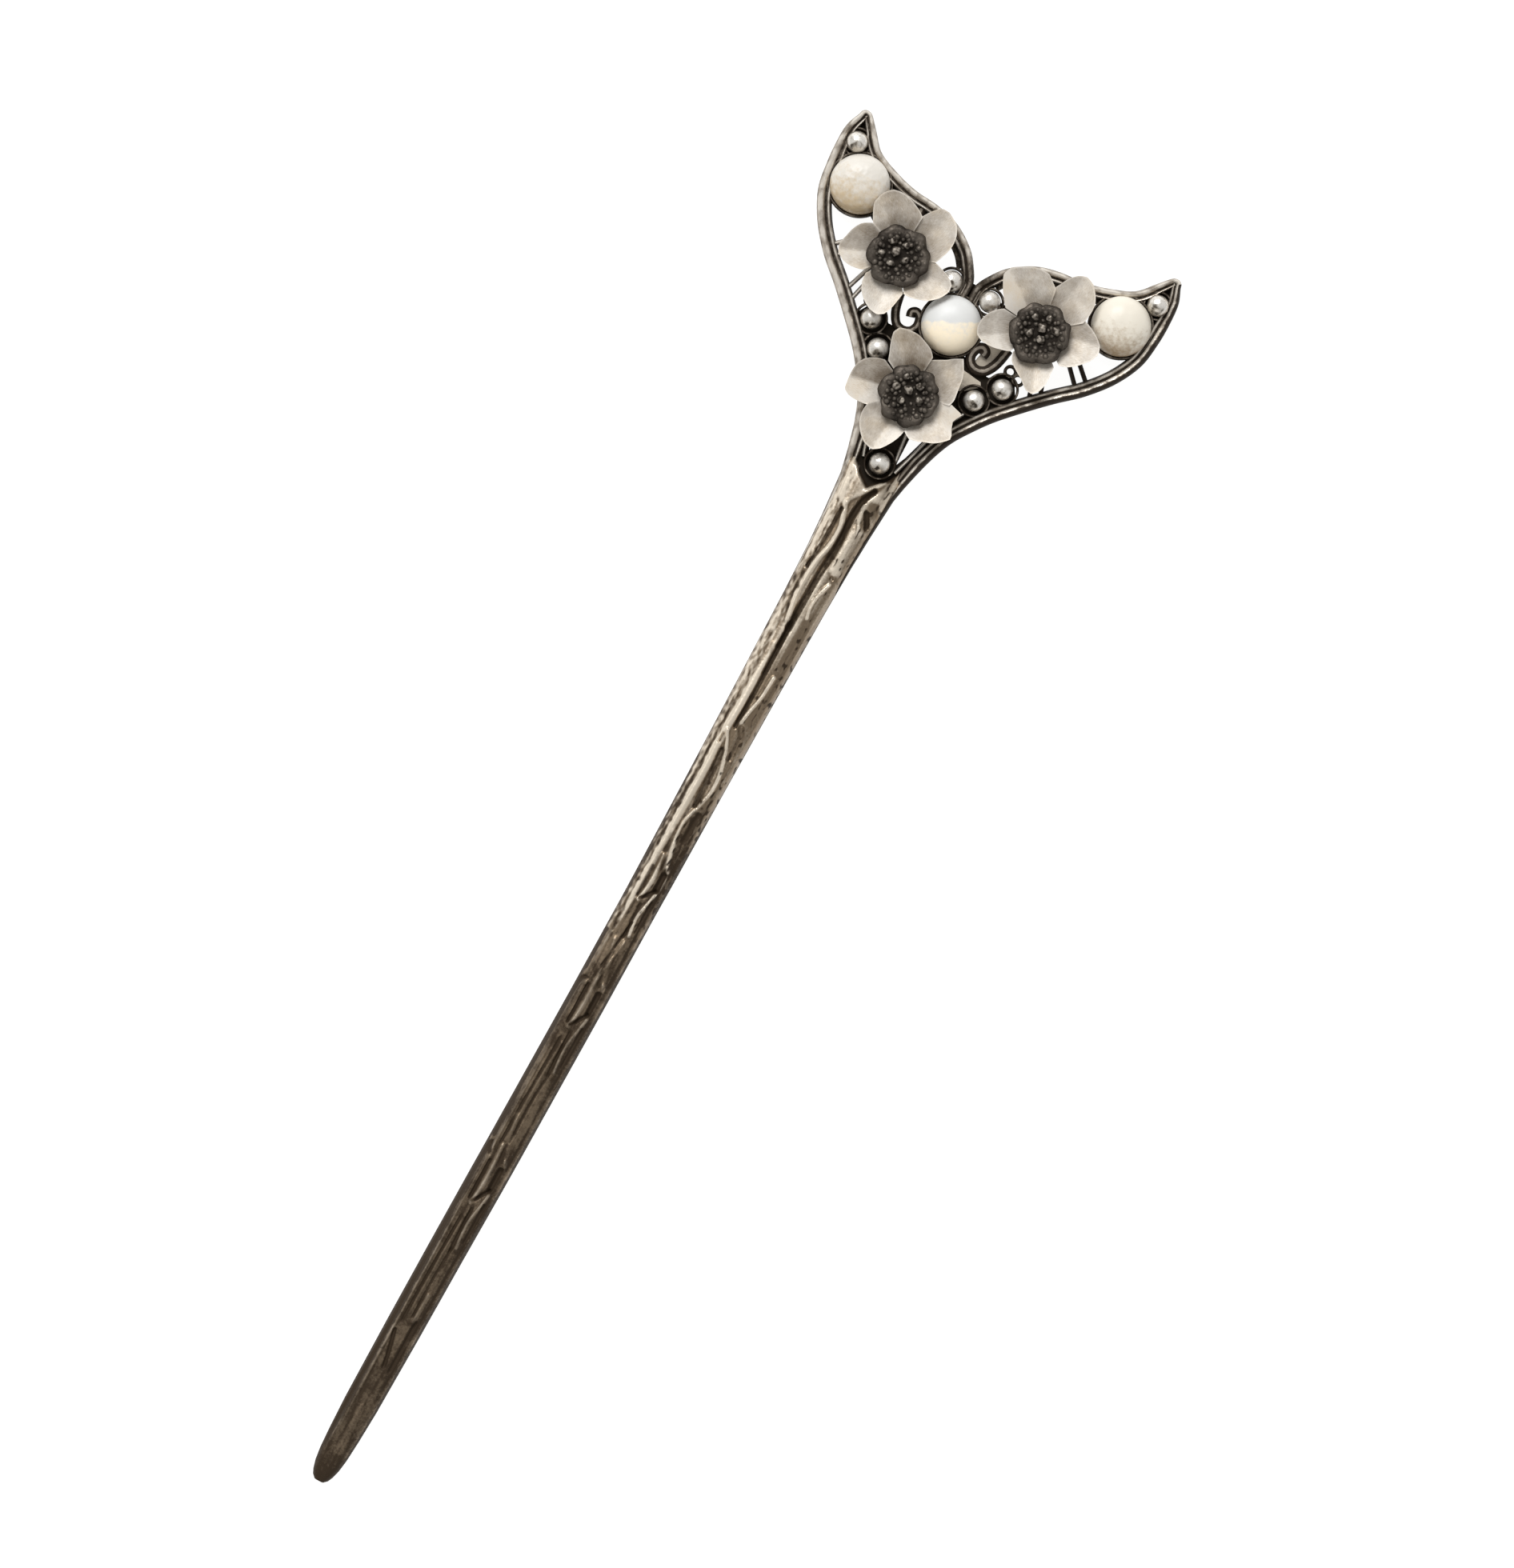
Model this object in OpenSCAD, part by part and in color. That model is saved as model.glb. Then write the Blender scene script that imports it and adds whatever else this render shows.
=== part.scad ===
// Hair stick with a fishtail head, lying on its flat back with its face up. All sizes are millimetres.
// X runs across the tail, Y runs from the point of the shaft to the tips of the tail, Z is up from the back.
// The origin is in the plane of the back, at the middle of the length and on the tail's middle line.

/* [Overall] */
// Length from the blunt point to the tips of the tail
total_len = 169.4; // [160:0.1:180]
// Width across the two tips of the tail
tail_w = 44; // [43:0.1:45]

/* [Shaft] */
// Width of the shaft below the neck
shaft_w = 4.5; // [4.2:0.1:4.9]
// Thickness of the shaft at the middle of its length
shaft_t = 2.6; // [2.3:0.1:3]
// Height of the boldest raised line above the shaft's face
relief_h = 0.45; // [0.2:0.05:0.6]

/* [Tail frame] */
// Width of the rail along the top edge
rail_w = 1.5; // [1.3:0.05:1.6]
// Width of the rail along the outer edge, from the tip down to the neck
outer_rail_w = 1.8; // [1.6:0.05:1.9]
// Height of a rail above the back
rail_h = 1.95; // [1.7:0.05:2.05]
// Thickness of the plates that close the small cells
web_t = 0.9; // [0.7:0.05:1.1]

/* [Beads and stones] */
// Diameter of a cast bead
bead_d = 2.55; // [2.3:0.05:2.65]
// Diameter of a stone
stone_d = 7; // [6.7:0.05:7.05]
// Height of a stone
stone_h = 3.3; // [2.6:0.1:3.3]
// Thickness of the wall of a stone's cup
cup_wall = 0.3; // [0.25:0.05:0.4]

/* [Flowers] */
// Height above the back of the round seat under a flower
seat_h = 2.3; // [2.3:0.05:2.6]
// Thickness of a petal
petal_t = 0.4; // [0.35:0.05:0.5]
// Rise of a petal from the seat to its tip
petal_rise = 1.5; // [1.5:0.1:2]
// Slope of the two halves of a petal towards its middle crease
petal_fold = 0.34; // [0.2:0.02:0.4]
// Diameter of a flower's dark centre
stamen_d = 7.1; // [6.4:0.1:7.2]
// Gap left for glue between a piece and its seat
glue_gap = 0.05; // [0.03:0.01:0.1]

/* [Hidden] */

silver = [0.72, 0.70, 0.66];
petal_silver = [0.80, 0.78, 0.74];
blackened = [0.16, 0.14, 0.12];
cream = [0.93, 0.89, 0.80];

// The neck is where the shaft opens into the tail. Tail places are written [across, up from the neck].
// The tables have a tail 44 wide and a shaft 131 long, and both follow the sizes above.
tail_len = 38.4;
neck_y = total_len - tail_len;
table_tail_w = 44;
table_shaft_len = 131;
function tail_at(p) = [p[0] * tail_w / table_tail_w + lookup(table_shaft_len + p[1], shaft_bow), p[1]];

// Columns: distance from the point, share of shaft_w to each side
shaft_sides = [[0, 0.13], [0.4, 0.22], [1, 0.28], [2, 0.34], [3.5, 0.385], [6, 0.42], [10, 0.455],
    [20, 0.48], [40, 0.5], [76, 0.5], [92, 0.53], [104, 0.56], [116, 0.6], [122, 0.64], [126, 0.69],
    [129, 0.74], [133, 0.81]];
// Columns: distance from the point, share of shaft_t
shaft_depths = [[0, 0.34], [1, 0.5], [3, 0.65], [8, 0.8], [20, 0.92], [60, 1], [104, 1.04], [133, 1.08]];
// Columns: distance from the point, how far the shaft's middle line lies to the right
shaft_bow = [[0, -0.34], [12, -0.24], [30, -0.08], [44, 0.1], [64, 0.28], [80, 0.34], [124, 0.33],
    [134, 0.28], [148, 0]];
shaft_steps = 100;
shaft_end = 132.6;
point_len = 3;
point_steps = 6;
relief_from = 3;
// Section of the shaft: share of its width that lies flat at the back, height of its edges as a share of
// its thickness, how square its face is, and how close to the edge the relief runs
back_share = 0.84;
edge_share = 0.36;
face_square = 3.4;
relief_square = 8;

// Half of the tail's outline. Columns: across, up from the neck. First the top edge, then the outer edge.
top_edge = [[0.05, 23.9], [0.1, 26.4], [1.05, 28.3], [2.6, 30.15], [5.2, 31.8], [8, 32.55], [11, 32.85],
    [13.6, 33.5], [16.6, 34.75], [18.3, 36.55], [19.6, 38]];
outer_edge = [[21.15, 37.5], [21.8, 35.8], [22, 33.5], [21.95, 30.8], [21.45, 27.6], [19.8, 24.35],
    [17.35, 21.35], [14.65, 18.9], [12.05, 16.35], [9.5, 13.7], [7.7, 11.4], [6.2, 9.15], [5.1, 6.6],
    [4.35, 4], [3.75, 1.3], [3.35, -0.7], [2.5, -2.6]];
tip = [20.35, 37.5];
tip_d = 1.7;
tip_top_d = 1;
tip_shoulder = 0.6 * rail_h;
// Profile of a rail above the base. Columns: share of its width from its outer side, share of rail_h
rail_profile = [[0.03, 0.2], [0.02, 0.6], [0.22, 1], [0.4, 0.9], [0.5, 0.7], [0.64, 0.9], [0.82, 0.92],
    [0.98, 0.56], [0.95, 0.2]];
ledge_w = 0.45;

// Beads on both sides. Columns: across, up from the neck, outer diameter of the cup
beads = [[19.75, 34.5, 3.5], [2.5, 25.6, 3.4], [8.6, 17.4, 3.9], [6.3, 14.7, 3.9]];
low_bead = [0, 3.15];
pocket_d = 4.9;
pocket_point = [0, 0.35];
pocket_point_d = 0.3;
low_cup_d = 0.78 * pocket_d;
side_stone = [17.15, 30.35];
centre_stone = [-0.1, 21.1];
side_flower = [9.25, 25.4];
low_flower = [-0.6, 11.9];
// Petals of each flower. Columns: angle, reach from the flower's middle, lift over the petal it laps
petals_left = [[65, 7.4, 0], [137, 7.4, 0.04], [204, 7.6, 0], [275, 7.2, 0.04], [351, 7.1, 0.08]];
petals_right = [[14, 7.2, 0], [80, 8, 0.04], [147, 7.9, 0], [213, 7.4, 0.04], [290, 7.6, 0.08]];
petals_low = [[63, 7.4, 0], [128, 7.7, 0.04], [193, 7.3, 0], [263, 7.4, 0.04], [342, 7, 0.08]];
// Outline of one half petal. Columns: share of the way from base to tip, half width
petal_outline = [[0, 1.2], [0.25, 2.3], [0.5, 2.86], [0.7, 2.42], [0.88, 1.15], [1, 0.14]];
petal_base_r = 1.7;
petal_rise_power = 1.2;
crease_from_r = 1.2;
crease_full_r = 4.7;
hub_r = 2.75;
hub_t = 0.3;
hub_in = 0.1;
// Profile of a flower's dark centre. Columns: share of its radius, height
stamen_profile = [[0, 0], [0.5, 0], [0.7, 0.42], [0.8, 0.75], [0.8, 1.1], [0.7, 1.35], [0.4, 1.5], [0, 1.6]];
// Its lobes and grains. Columns: how many, share of its radius to their middles, height, size as a share
grains = [[6, 0.76, 1.25, 0.24], [5, 0.42, 1.55, 0.12], [1, 0, 1.65, 0.14]];
stamen_lift = 0.12;

// Scroll on both sides, from its curled end to the flower. Columns: across, up from the neck
scroll = [[4.75, 19.75], [4.85, 20.3], [4.35, 20.6], [3.75, 20.15], [3.55, 19.2], [3.95, 18.35], [4.8, 18],
    [5.7, 18.25], [6.35, 19.1], [6.75, 20.2], [7.05, 21.8]];
scroll_w = 0.6;
scroll_h = 1.7;
// Fine line on both sides inside the rail near the neck
inner_line = [[5.95, 12.8], [4.75, 10.6], [3.75, 8.3], [2.85, 5.4], [2.05, 3]];
inner_line_w = 0.5;
inner_line_h = 1.6;
strand_profile = [[0.05, 0.2], [0, 0.6], [0.25, 0.95], [0.75, 0.95], [1, 0.6], [0.95, 0.2]];
// Struts on both sides. Columns: across and up of one end, of the other end, width, height. Two thin ones
// side by side run to the outer rail in two places.
strut_pair_w = 0.55;
struts = [[9.25, 25.4, 14.4, 28.6, 1.4, 1.4], [9.25, 25.4, 9.6, 32.2, 1.2, 1.4],
    [9.25, 25.4, 3.4, 25.6, 1.2, 1.4], [11.4, 26.4, 15.8, 21.8, strut_pair_w, 1.5],
    [11.4, 27.7, 16.8, 22.7, strut_pair_w, 1.5], [10.3, 24, 11.9, 17.6, strut_pair_w, 1.5],
    [11, 24.2, 12.9, 18.7, strut_pair_w, 1.5], [0.95, 9.6, 1.55, 3.9, 0.5, 1.4],
    [0.75, 24.2, 0.75, 26.2, 1.3, 1.6]];
// Half of the plate round the low flower, of the plate under the notch, and of the open slots in the first
low_plate = [[0, -1], [3, -1], [3.9, 3], [4.6, 6.3], [5.6, 9], [6.9, 11.6], [8.6, 14], [9.9, 15.7],
    [10.4, 17.3], [9.2, 19.3], [7.6, 19], [6.6, 17.9], [4.4, 17.9], [3.2, 18.7], [0, 18.9]];
notch_plate = [[0, 23], [1.6, 23.4], [1.6, 26.6], [0, 26.6]];
tip_plate = [[17.2, 34.2], [18.8, 36.4], [20.3, 37.6], [21.2, 36.4], [21.4, 33.6], [20.9, 31.2], [19, 33.6]];
slot = [[1.75, 3.9], [2.35, 5.2], [3.3, 8.1], [1.75, 8.4]];
// Small plate inside the right scroll
scroll_plate = [[4.2, 18.6], [5.6, 18.5], [6.5, 20], [6.8, 22], [4, 22.2], [4.6, 20.6]];
ring_pair = [[8.45, 19.7], [9.7, 19.25]];
ring_hole_d = 0.85;
ring_wall = 0.32;
ring_h = 1.5;
bead_lift = 0.5;
// Parts on the base start this far up in it, and the base shows this far round them
base_in = 0.33;
base_edge = 0.03;
// Round the upper part of the tail a low ledge runs along the rails' inner side
ledge_from = 28;
cup_d = stone_d + 2 * (glue_gap + cup_wall);
bead_cup_h = 1.6;
bead_cup_wall = 0.3;
seat_d = 5.2;
stone_floor = 1;
stone_cup_h = 1.75;
stone_girdle = 0.7;
stone_chamfer = 0.15;

// Relief of the shaft. Each row: height as a share of relief_h, half width, then its line in columns
// across, from the point. A negative height is a hollow.
motif = [
    [0.75, 0.42, [[-0.35, -3.4], [-0.1, -1.5], [-0.05, 1], [-0.25, 4.2]]],
    [-1.1, 0.45, [[0.95, 1.4], [0.95, -1.2]]],
    [-0.7, 0.28, [[0.95, -1.3], [-0.25, -3.2]]],
    [0.65, 0.26, [[1.15, -1.8], [0.65, -4.6], [0.5, -6.5], [0.75, -9]]],
    [0.5, 0.32, [[1.15, 2], [0.9, 2.6]]],
    [0.3, 0.4, [[0.9, 2.6], [0.3, 4.8], [-0.5, 8]]],
    [-0.5, 0.22, [[1.2, -3], [1.15, -8]]],
    [-0.4, 0.25, [[0.15, -4], [0.25, -9.5]]],
    [-0.5, 0.22, [[-0.72, -3], [-0.72, 2]]]];
// Columns: distance from the point of one repeat of the motif, shift to the right, share of its size
motif_at = [[40.2, 0, 1], [63.4, 0.2, 1], [79.4, 0.25, 0.78]];
own_lines = [
    [0.3, 0.35, [[-1.35, 6], [-1.35, 41], [-0.95, 42.3]]],
    [-0.6, 0.22, [[-1.8, 5], [-1.8, 41], [-1.15, 42.6]]],
    [0.3, 0.35, [[-1.2, 44], [-1.2, 64], [-0.8, 65.3]]],
    [-0.6, 0.22, [[-1.65, 46], [-1.65, 64], [-1, 65.6]]],
    [-0.6, 0.3, [[-1, 19.7], [-0.35, 17], [-0.05, 15.3]]],
    [-0.6, 0.3, [[0.8, 21.5], [0.8, 15]]],
    [0.5, 0.35, [[0.5, 21.4], [0.55, 25]]],
    [0.25, 0.5, [[0.2, 5], [-0.1, 10]]],
    [0.75, 0.8, [[-1, 74], [-0.9, 80], [-0.85, 88], [-0.75, 94], [-0.9, 98], [-0.65, 101], [-0.6, 106],
        [-0.7, 111]]],
    [0.9, 0.34, [[0.9, 82], [0.35, 84.8], [0.2, 87], [0.9, 89.5], [1.35, 91.5], [1.3, 93.5], [0.8, 95.8],
        [0.1, 97.7], [-0.4, 98.8]]],
    [-0.7, 0.55, [[0.4, 90.5], [0.35, 93], [0.1, 96]]],
    [-0.8, 0.5, [[1.3, 85], [1.35, 88.5]]],
    [-0.8, 0.5, [[1.4, 95.8], [1.35, 98.5], [0.9, 99.6]]],
    [-0.8, 0.24, [[-0.6, 97.2], [-0.6, 98.2]]],
    [0.7, 0.32, [[0.5, 100.2], [0.85, 102], [1.25, 104], [1.4, 106.5]]],
    [-0.7, 0.26, [[0.05, 99.5], [0.15, 105], [0.1, 112]]],
    [0.9, 0.42, [[-0.4, 113.3], [-0.9, 116], [-0.95, 118.5], [-0.7, 121], [-0.3, 122.7], [-0.1, 124.3],
        [-0.15, 125.7], [-0.6, 127], [-0.95, 128.4]]],
    [-1.5, 0.5, [[0.1, 112], [0.15, 116], [0.25, 119.5], [0.5, 123], [0.4, 127], [0.65, 129.4], [1.3, 131]]],
    [0.4, 0.9, [[1.8, 120.8], [1.8, 126]]],
    [-1, 0.36, [[1.75, 119.8], [1.75, 119.7]]],
    [0.6, 0.26, [[1.9, 119], [1.4, 117.5], [1.2, 115.8], [1.45, 114.4]]],
    [-1, 0.45, [[1.75, 128.3], [2.5, 126.8]]],
    [0.5, 0.24, [[1, 129], [1.35, 127.2], [1.9, 125.9]]],
    [0.4, 0.6, [[2.1, 129.8], [2.3, 130.4]]],
    [-0.9, 0.26, [[-1.4, 119.8], [-1.15, 123], [-1.1, 127.4]]],
    [0.6, 0.8, [[-1.9, 132], [-1.35, 129.6]]],
    [0.8, 0.36, [[-0.9, 128.7], [0.45, 130.6], [2, 132.4]]]];
relief_lines = concat(own_lines, [for (m = motif_at, r = motif)
    [r[0], r[1], [for (p = r[2]) [p[0] + m[1], m[0] + p[1] * m[2]]]]]);

// Share of the way from a to b at x, held between 0 and 1
function ramp(a, b, x) = max(0, min(1, (x - a) / (b - a)));
function segment_gap(p, a, b) =
    let (ab = b - a, t = max(0, min(1, ((p - a) * ab) / (ab * ab)))) norm(p - a - t * ab);
function line_gap(p, line) = min([for (i = [0 : len(line) - 2]) segment_gap(p, line[i], line[i + 1])]);
function line_near(p, line) = p[1] > min(line[0][1], line[len(line) - 1][1]) - 1
    && p[1] < max(line[0][1], line[len(line) - 1][1]) + 1;
function bump(d, half) = d >= half ? 0 : pow(1 - pow(d / half, 2), 1.5);
// Height of the relief at a place on the shaft
function relief(p) = relief_h * ramp(relief_from, relief_from + 4, p[1])
    * vec_sum([for (r = relief_lines) line_near(p, r[2]) ? r[0] * bump(line_gap(p, r[2]), r[1]) : 0]);
function vec_sum(v, i = 0) = i < len(v) ? v[i] + vec_sum(v, i + 1) : 0;

// A point of a smooth curve through a line's points, and the whole line with n points for each stretch
function between(a, b, c, d, t) = 0.5 * ((2 * b) + (c - a) * t + (2 * a - 5 * b + 4 * c - d) * t * t
    + (3 * b - a - 3 * c + d) * t * t * t);
function smooth(line, n) = let (last = len(line) - 1)
    [for (i = [0 : last - 1], k = [0 : n - 1])
        between(line[max(i - 1, 0)], line[i], line[i + 1], line[min(i + 2, last)], k / n), line[last]];
function heading(line, i) =
    let (d = line[min(i + 1, len(line) - 1)] - line[max(i - 1, 0)]) d / norm(d);
// A line of the tail's right half, placed on the right (side 1) or on the left (side -1)
function placed(line, side) = [for (p = line) tail_at([side * p[0], p[1]])];

// A closed solid through rings of points with the same number of points
module loft(rings, flip = false) {
    n = len(rings[0]);
    last = len(rings) - 1;
    polyhedron(points = [for (r = rings, j = [0 : n - 1]) r[flip ? n - 1 - j : j]],
        faces = concat([[for (j = [0 : n - 1]) j]],
            [[for (j = [n - 1 : -1 : 0]) last * n + j]],
            [for (i = [0 : last - 1], j = [0 : n - 1]) [i * n + j, (i + 1) * n + j, i * n + (j + 1) % n]],
            [for (i = [0 : last - 1], j = [0 : n - 1])
                [(i + 1) * n + j, (i + 1) * n + (j + 1) % n, i * n + (j + 1) % n]]));
}

// A strand on one side of the tail. Its width goes inwards from the line, which is its outer side, or its
// middle where lead is 0.5. It has n stretches between two points of the line.
module strand(half_line, side, width, height, profile, lead = 0, n = 1) {
    line = smooth(placed(half_line, side), n);
    loft([for (i = [0 : len(line) - 1])
        let (h = heading(line, i))
            [for (p = profile)
                let (q = line[i] + side * width * (p[0] - lead) * [h[1], -h[0]])
                    [q[0], q[1], height * p[1]]]],
        side < 0);
}

module at_tail(p, z = 0) {
    q = tail_at(p);
    translate([q[0], q[1], z]) children();
}

// Distance from the point of a ring of the shaft
function station(i) = i < point_steps ? point_len * pow(i / point_steps, 1.6)
    : point_len + (shaft_end - point_len) * (i - point_steps) / (shaft_steps - point_steps);

// The shaft, as rings across it from the point to the neck
module shaft() {
    face_n = 11;
    loft([for (i = [0 : shaft_steps])
        let (s = station(i), half = shaft_w * lookup(s, shaft_sides), t = shaft_t * lookup(s, shaft_depths),
            mid = lookup(s, shaft_bow), y = s * neck_y / table_shaft_len - neck_y)
        concat([[mid - back_share * half, y, 0], [mid - half, y, edge_share * t]],
            [for (j = [0 : face_n - 1])
                let (f = -cos(22 + 136 * j / (face_n - 1)), x = mid + half * f,
                    face = t * pow(1 - pow(abs(f), face_square), 0.5),
                    inside = 1 - pow(abs(f), relief_square))
                [x, y, max(0.5 * face, face + inside * relief([x, s]))]],
            [[mid + half, y, edge_share * t], [mid + back_share * half, y, 0]])]);
}

// The outline of the tail, and the flat base of the casting, which everything in the tail stands on
module tail_outline() {
    half = concat([for (i = [1 : len(top_edge) - 1]) top_edge[i]], [tip], outer_edge);
    polygon(concat(placed(half, 1), [for (i = [len(half) - 1 : -1 : 0]) placed(half, -1)[i]]));
}

module base() {
    linear_extrude(web_t) offset(delta = base_edge) difference() {
        union() {
            difference() {
                tail_outline();
                offset(delta = -outer_rail_w) tail_outline();
            }
            difference() {
                offset(delta = -rail_w / 2) tail_outline();
                offset(delta = -rail_w - ledge_w) tail_outline();
                translate([-tail_w, -tail_len]) square([2 * tail_w, tail_len + ledge_from]);
            }
            for (side = [-1, 1]) {
                polygon(placed(low_plate, side));
                polygon(placed(notch_plate, side));
                polygon(placed(tip_plate, side));
                stroke(inner_line, side, inner_line_w);
                stroke(scroll, side, scroll_w);
                for (s = struts) hull() {
                    translate(tail_at([side * s[0], s[1]])) circle(d = s[4], $fn = 8);
                    translate(tail_at([side * s[2], s[3]])) circle(d = s[4], $fn = 8);
                }
                for (p = ring_pair) translate(tail_at([side * p[0], p[1]]))
                    circle(d = ring_hole_d + 2 * ring_wall, $fn = 14);
                for (b = beads) translate(tail_at([side * b[0], b[1]])) circle(d = b[2], $fn = 16);
                translate(tail_at([side * side_stone[0], side_stone[1]])) circle(d = cup_d, $fn = 32);
                translate(tail_at([side * side_flower[0], side_flower[1]])) circle(d = seat_d, $fn = 24);
            }
            polygon(placed(scroll_plate, 1));
            translate(tail_at(centre_stone)) circle(d = cup_d, $fn = 32);
            translate(tail_at(low_flower)) circle(d = seat_d, $fn = 24);
        }
        for (side = [-1, 1]) {
            polygon(placed(slot, side));
            for (p = ring_pair) translate(tail_at([side * p[0], p[1]]))
                circle(d = ring_hole_d + 2 * base_edge, $fn = 12);
        }
    }
}

// The flat shape of a strand that is drawn along its middle
module stroke(half_line, side, width) {
    line = placed(half_line, side);
    edge = function (k) [for (i = [0 : len(line) - 1])
        let (h = heading(line, i)) line[i] + k * width / 2 * [h[1], -h[0]]];
    right = edge(1);
    left = edge(-1);
    polygon(concat(right, [for (i = [len(left) - 1 : -1 : 0]) left[i]]));
}

module rails(side) {
    strand(top_edge, side, rail_w, rail_h, rail_profile);
    strand(outer_edge, side, outer_rail_w, rail_h, rail_profile, n = 2);
    strand(inner_line, side, inner_line_w, inner_line_h, strand_profile, lead = 0.5);
    strand(scroll, side, scroll_w, scroll_h, strand_profile, lead = 0.5);
    at_tail([side * tip[0], tip[1]], base_in) hull() {
        cylinder(d = tip_d, h = tip_shoulder, $fn = 16);
        cylinder(d = tip_top_d, h = rail_h - base_in, $fn = 12);
    }
}

module bead(p, cup_d) {
    at_tail(p, base_in) {
        difference() {
            cylinder(d = cup_d - 2 * base_edge, h = bead_cup_h - base_in, $fn = 16);
            translate([0, 0, web_t - base_in])
                cylinder(d = cup_d - 2 * bead_cup_wall, h = bead_cup_h, $fn = 16);
        }
        translate([0, 0, bead_lift + bead_d / 2 - base_in]) sphere(d = bead_d, $fn = 10);
    }
}

module stone_cup(p) {
    at_tail(p, base_in) cylinder(d = cup_d - 2 * base_edge, h = stone_cup_h - base_in, $fn = 32);
}

// The hollow of a stone's cup, which also cuts into the rail and the ring beside it
module stone_hollow(p) {
    at_tail(p, stone_floor) cylinder(d = cup_d - 2 * cup_wall, h = stone_h, $fn = 32);
}

module small_rings(side) {
    translate([0, 0, base_in]) linear_extrude(ring_h - base_in) difference() {
        for (p = ring_pair) translate(tail_at([side * p[0], p[1]]))
            circle(d = ring_hole_d + 2 * ring_wall - 2 * base_edge, $fn = 14);
        for (p = ring_pair) translate(tail_at([side * p[0], p[1]])) circle(d = ring_hole_d, $fn = 12);
    }
}

module strut(side, s) {
    d = s[4] - 2 * base_edge;
    h = s[5] - base_in;
    hull() {
        at_tail([side * s[0], s[1]], base_in) cylinder(d = d, h = h, $fn = 8);
        at_tail([side * s[2], s[3]], base_in) cylinder(d = d, h = h, $fn = 8);
    }
}

module seat(p) {
    at_tail(p, base_in) cylinder(d = seat_d - 2 * base_edge, h = seat_h - base_in, $fn = 24);
}

// Hollow round the bead at the neck, which ends in a point over the shaft
module neck_pocket() {
    hull() {
        at_tail(low_bead, web_t) cylinder(d = pocket_d, h = shaft_t, $fn = 24);
        at_tail(pocket_point, web_t) cylinder(d = pocket_point_d, h = shaft_t, $fn = 6);
    }
}

// Moves what is drawn from the neck to its place
module from_neck() {
    translate([0, neck_y - total_len / 2, 0]) children();
}

// The whole casting
module cast_pin() {
    from_neck() color(silver) difference() {
        union() {
            difference() {
                shaft();
                neck_pocket();
            }
            base();
            for (side = [-1, 1]) {
                rails(side);
                small_rings(side);
                for (s = struts) strut(side, s);
                for (b = beads) bead([side * b[0], b[1]], b[2]);
                stone_cup([side * side_stone[0], side_stone[1]]);
                seat([side * side_flower[0], side_flower[1]]);
            }
            bead(low_bead, low_cup_d);
            stone_cup(centre_stone);
            seat(low_flower);
        }
        stone_hollow(centre_stone);
        for (side = [-1, 1]) stone_hollow([side * side_stone[0], side_stone[1]]);
    }
}

// Height of a petal's upper face at a radius r and a distance w from its crease
function petal_z(r, w, reach) = petal_t + petal_rise * pow(ramp(petal_base_r, reach, r), petal_rise_power)
    + petal_fold * w * ramp(crease_from_r, crease_full_r, r);

// One of the two flat cuts across a half petal, between its crease and its edge
function petal_cut(o, reach, side) =
    let (r = petal_base_r + (reach - petal_base_r) * o[0])
        [for (q = [[0, 0], [o[1], 0], [o[1], petal_t], [0, petal_t]])
            [r, side * q[0], petal_z(r, q[0], reach) - q[1]]];

// A petal, as short stretches of its two halves, which meet at the crease
module petal(angle, reach) {
    rotate([0, 0, angle]) for (side = [-1, 1], i = [0 : len(petal_outline) - 2]) hull()
        polyhedron(points = concat(petal_cut(petal_outline[i], reach, side),
            petal_cut(petal_outline[i + 1], reach, side)), faces = [[0, 1, 2, 3], [7, 6, 5, 4]]);
}

// A flower: five petals whose narrow bases join on a small round hub
module flower(p, petals) {
    from_neck() at_tail(p, seat_h + glue_gap) color(petal_silver) {
        cylinder(r = hub_r, h = hub_t, $fn = 40);
        for (q = petals) translate([0, 0, hub_in + q[2]]) petal(q[0], q[1]);
    }
}

// A flower's dark centre: a round button with soft lobes round it and small grains on top
module stamen(p) {
    r = stamen_d / 2;
    from_neck() at_tail(p, seat_h + hub_in + petal_t + stamen_lift + 2 * glue_gap) color(blackened) {
        rotate_extrude($fn = 48) polygon([for (q = stamen_profile) [r * q[0], q[1]]]);
        for (g = grains, i = [0 : g[0] - 1]) rotate([0, 0, i * 360 / g[0]])
            translate([r * g[1], 0, g[2]]) sphere(r = r * g[3], $fn = 24);
    }
}

// A domed stone with a flat base
module stone(p) {
    r = stone_d / 2;
    dome = stone_h - stone_girdle;
    from_neck() at_tail(p, stone_floor + glue_gap) color(cream) rotate_extrude($fn = 64)
        polygon(concat([[0, 0], [r - stone_chamfer, 0], [r, stone_chamfer]],
            [for (a = [0 : 10 : 90]) [r * cos(a), stone_girdle + dome * sin(a)]]));
}

module flower_left() {
    flower([-side_flower[0], side_flower[1]], petals_left);
}

module flower_right() {
    flower(side_flower, petals_right);
}

module flower_low() {
    flower(low_flower, petals_low);
}

module stamen_left() {
    stamen([-side_flower[0], side_flower[1]]);
}

module stamen_right() {
    stamen(side_flower);
}

module stamen_low() {
    stamen(low_flower);
}

module stone_left() {
    stone([-side_stone[0], side_stone[1]]);
}

module stone_right() {
    stone(side_stone);
}

module stone_centre() {
    stone(centre_stone);
}

cast_pin();
flower_left();
flower_right();
flower_low();
stamen_left();
stamen_right();
stamen_low();
stone_left();
stone_right();
stone_centre();
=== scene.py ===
import math

import bpy
import numpy as np
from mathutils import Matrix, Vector, noise
from mathutils.geometry import tessellate_polygon


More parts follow.
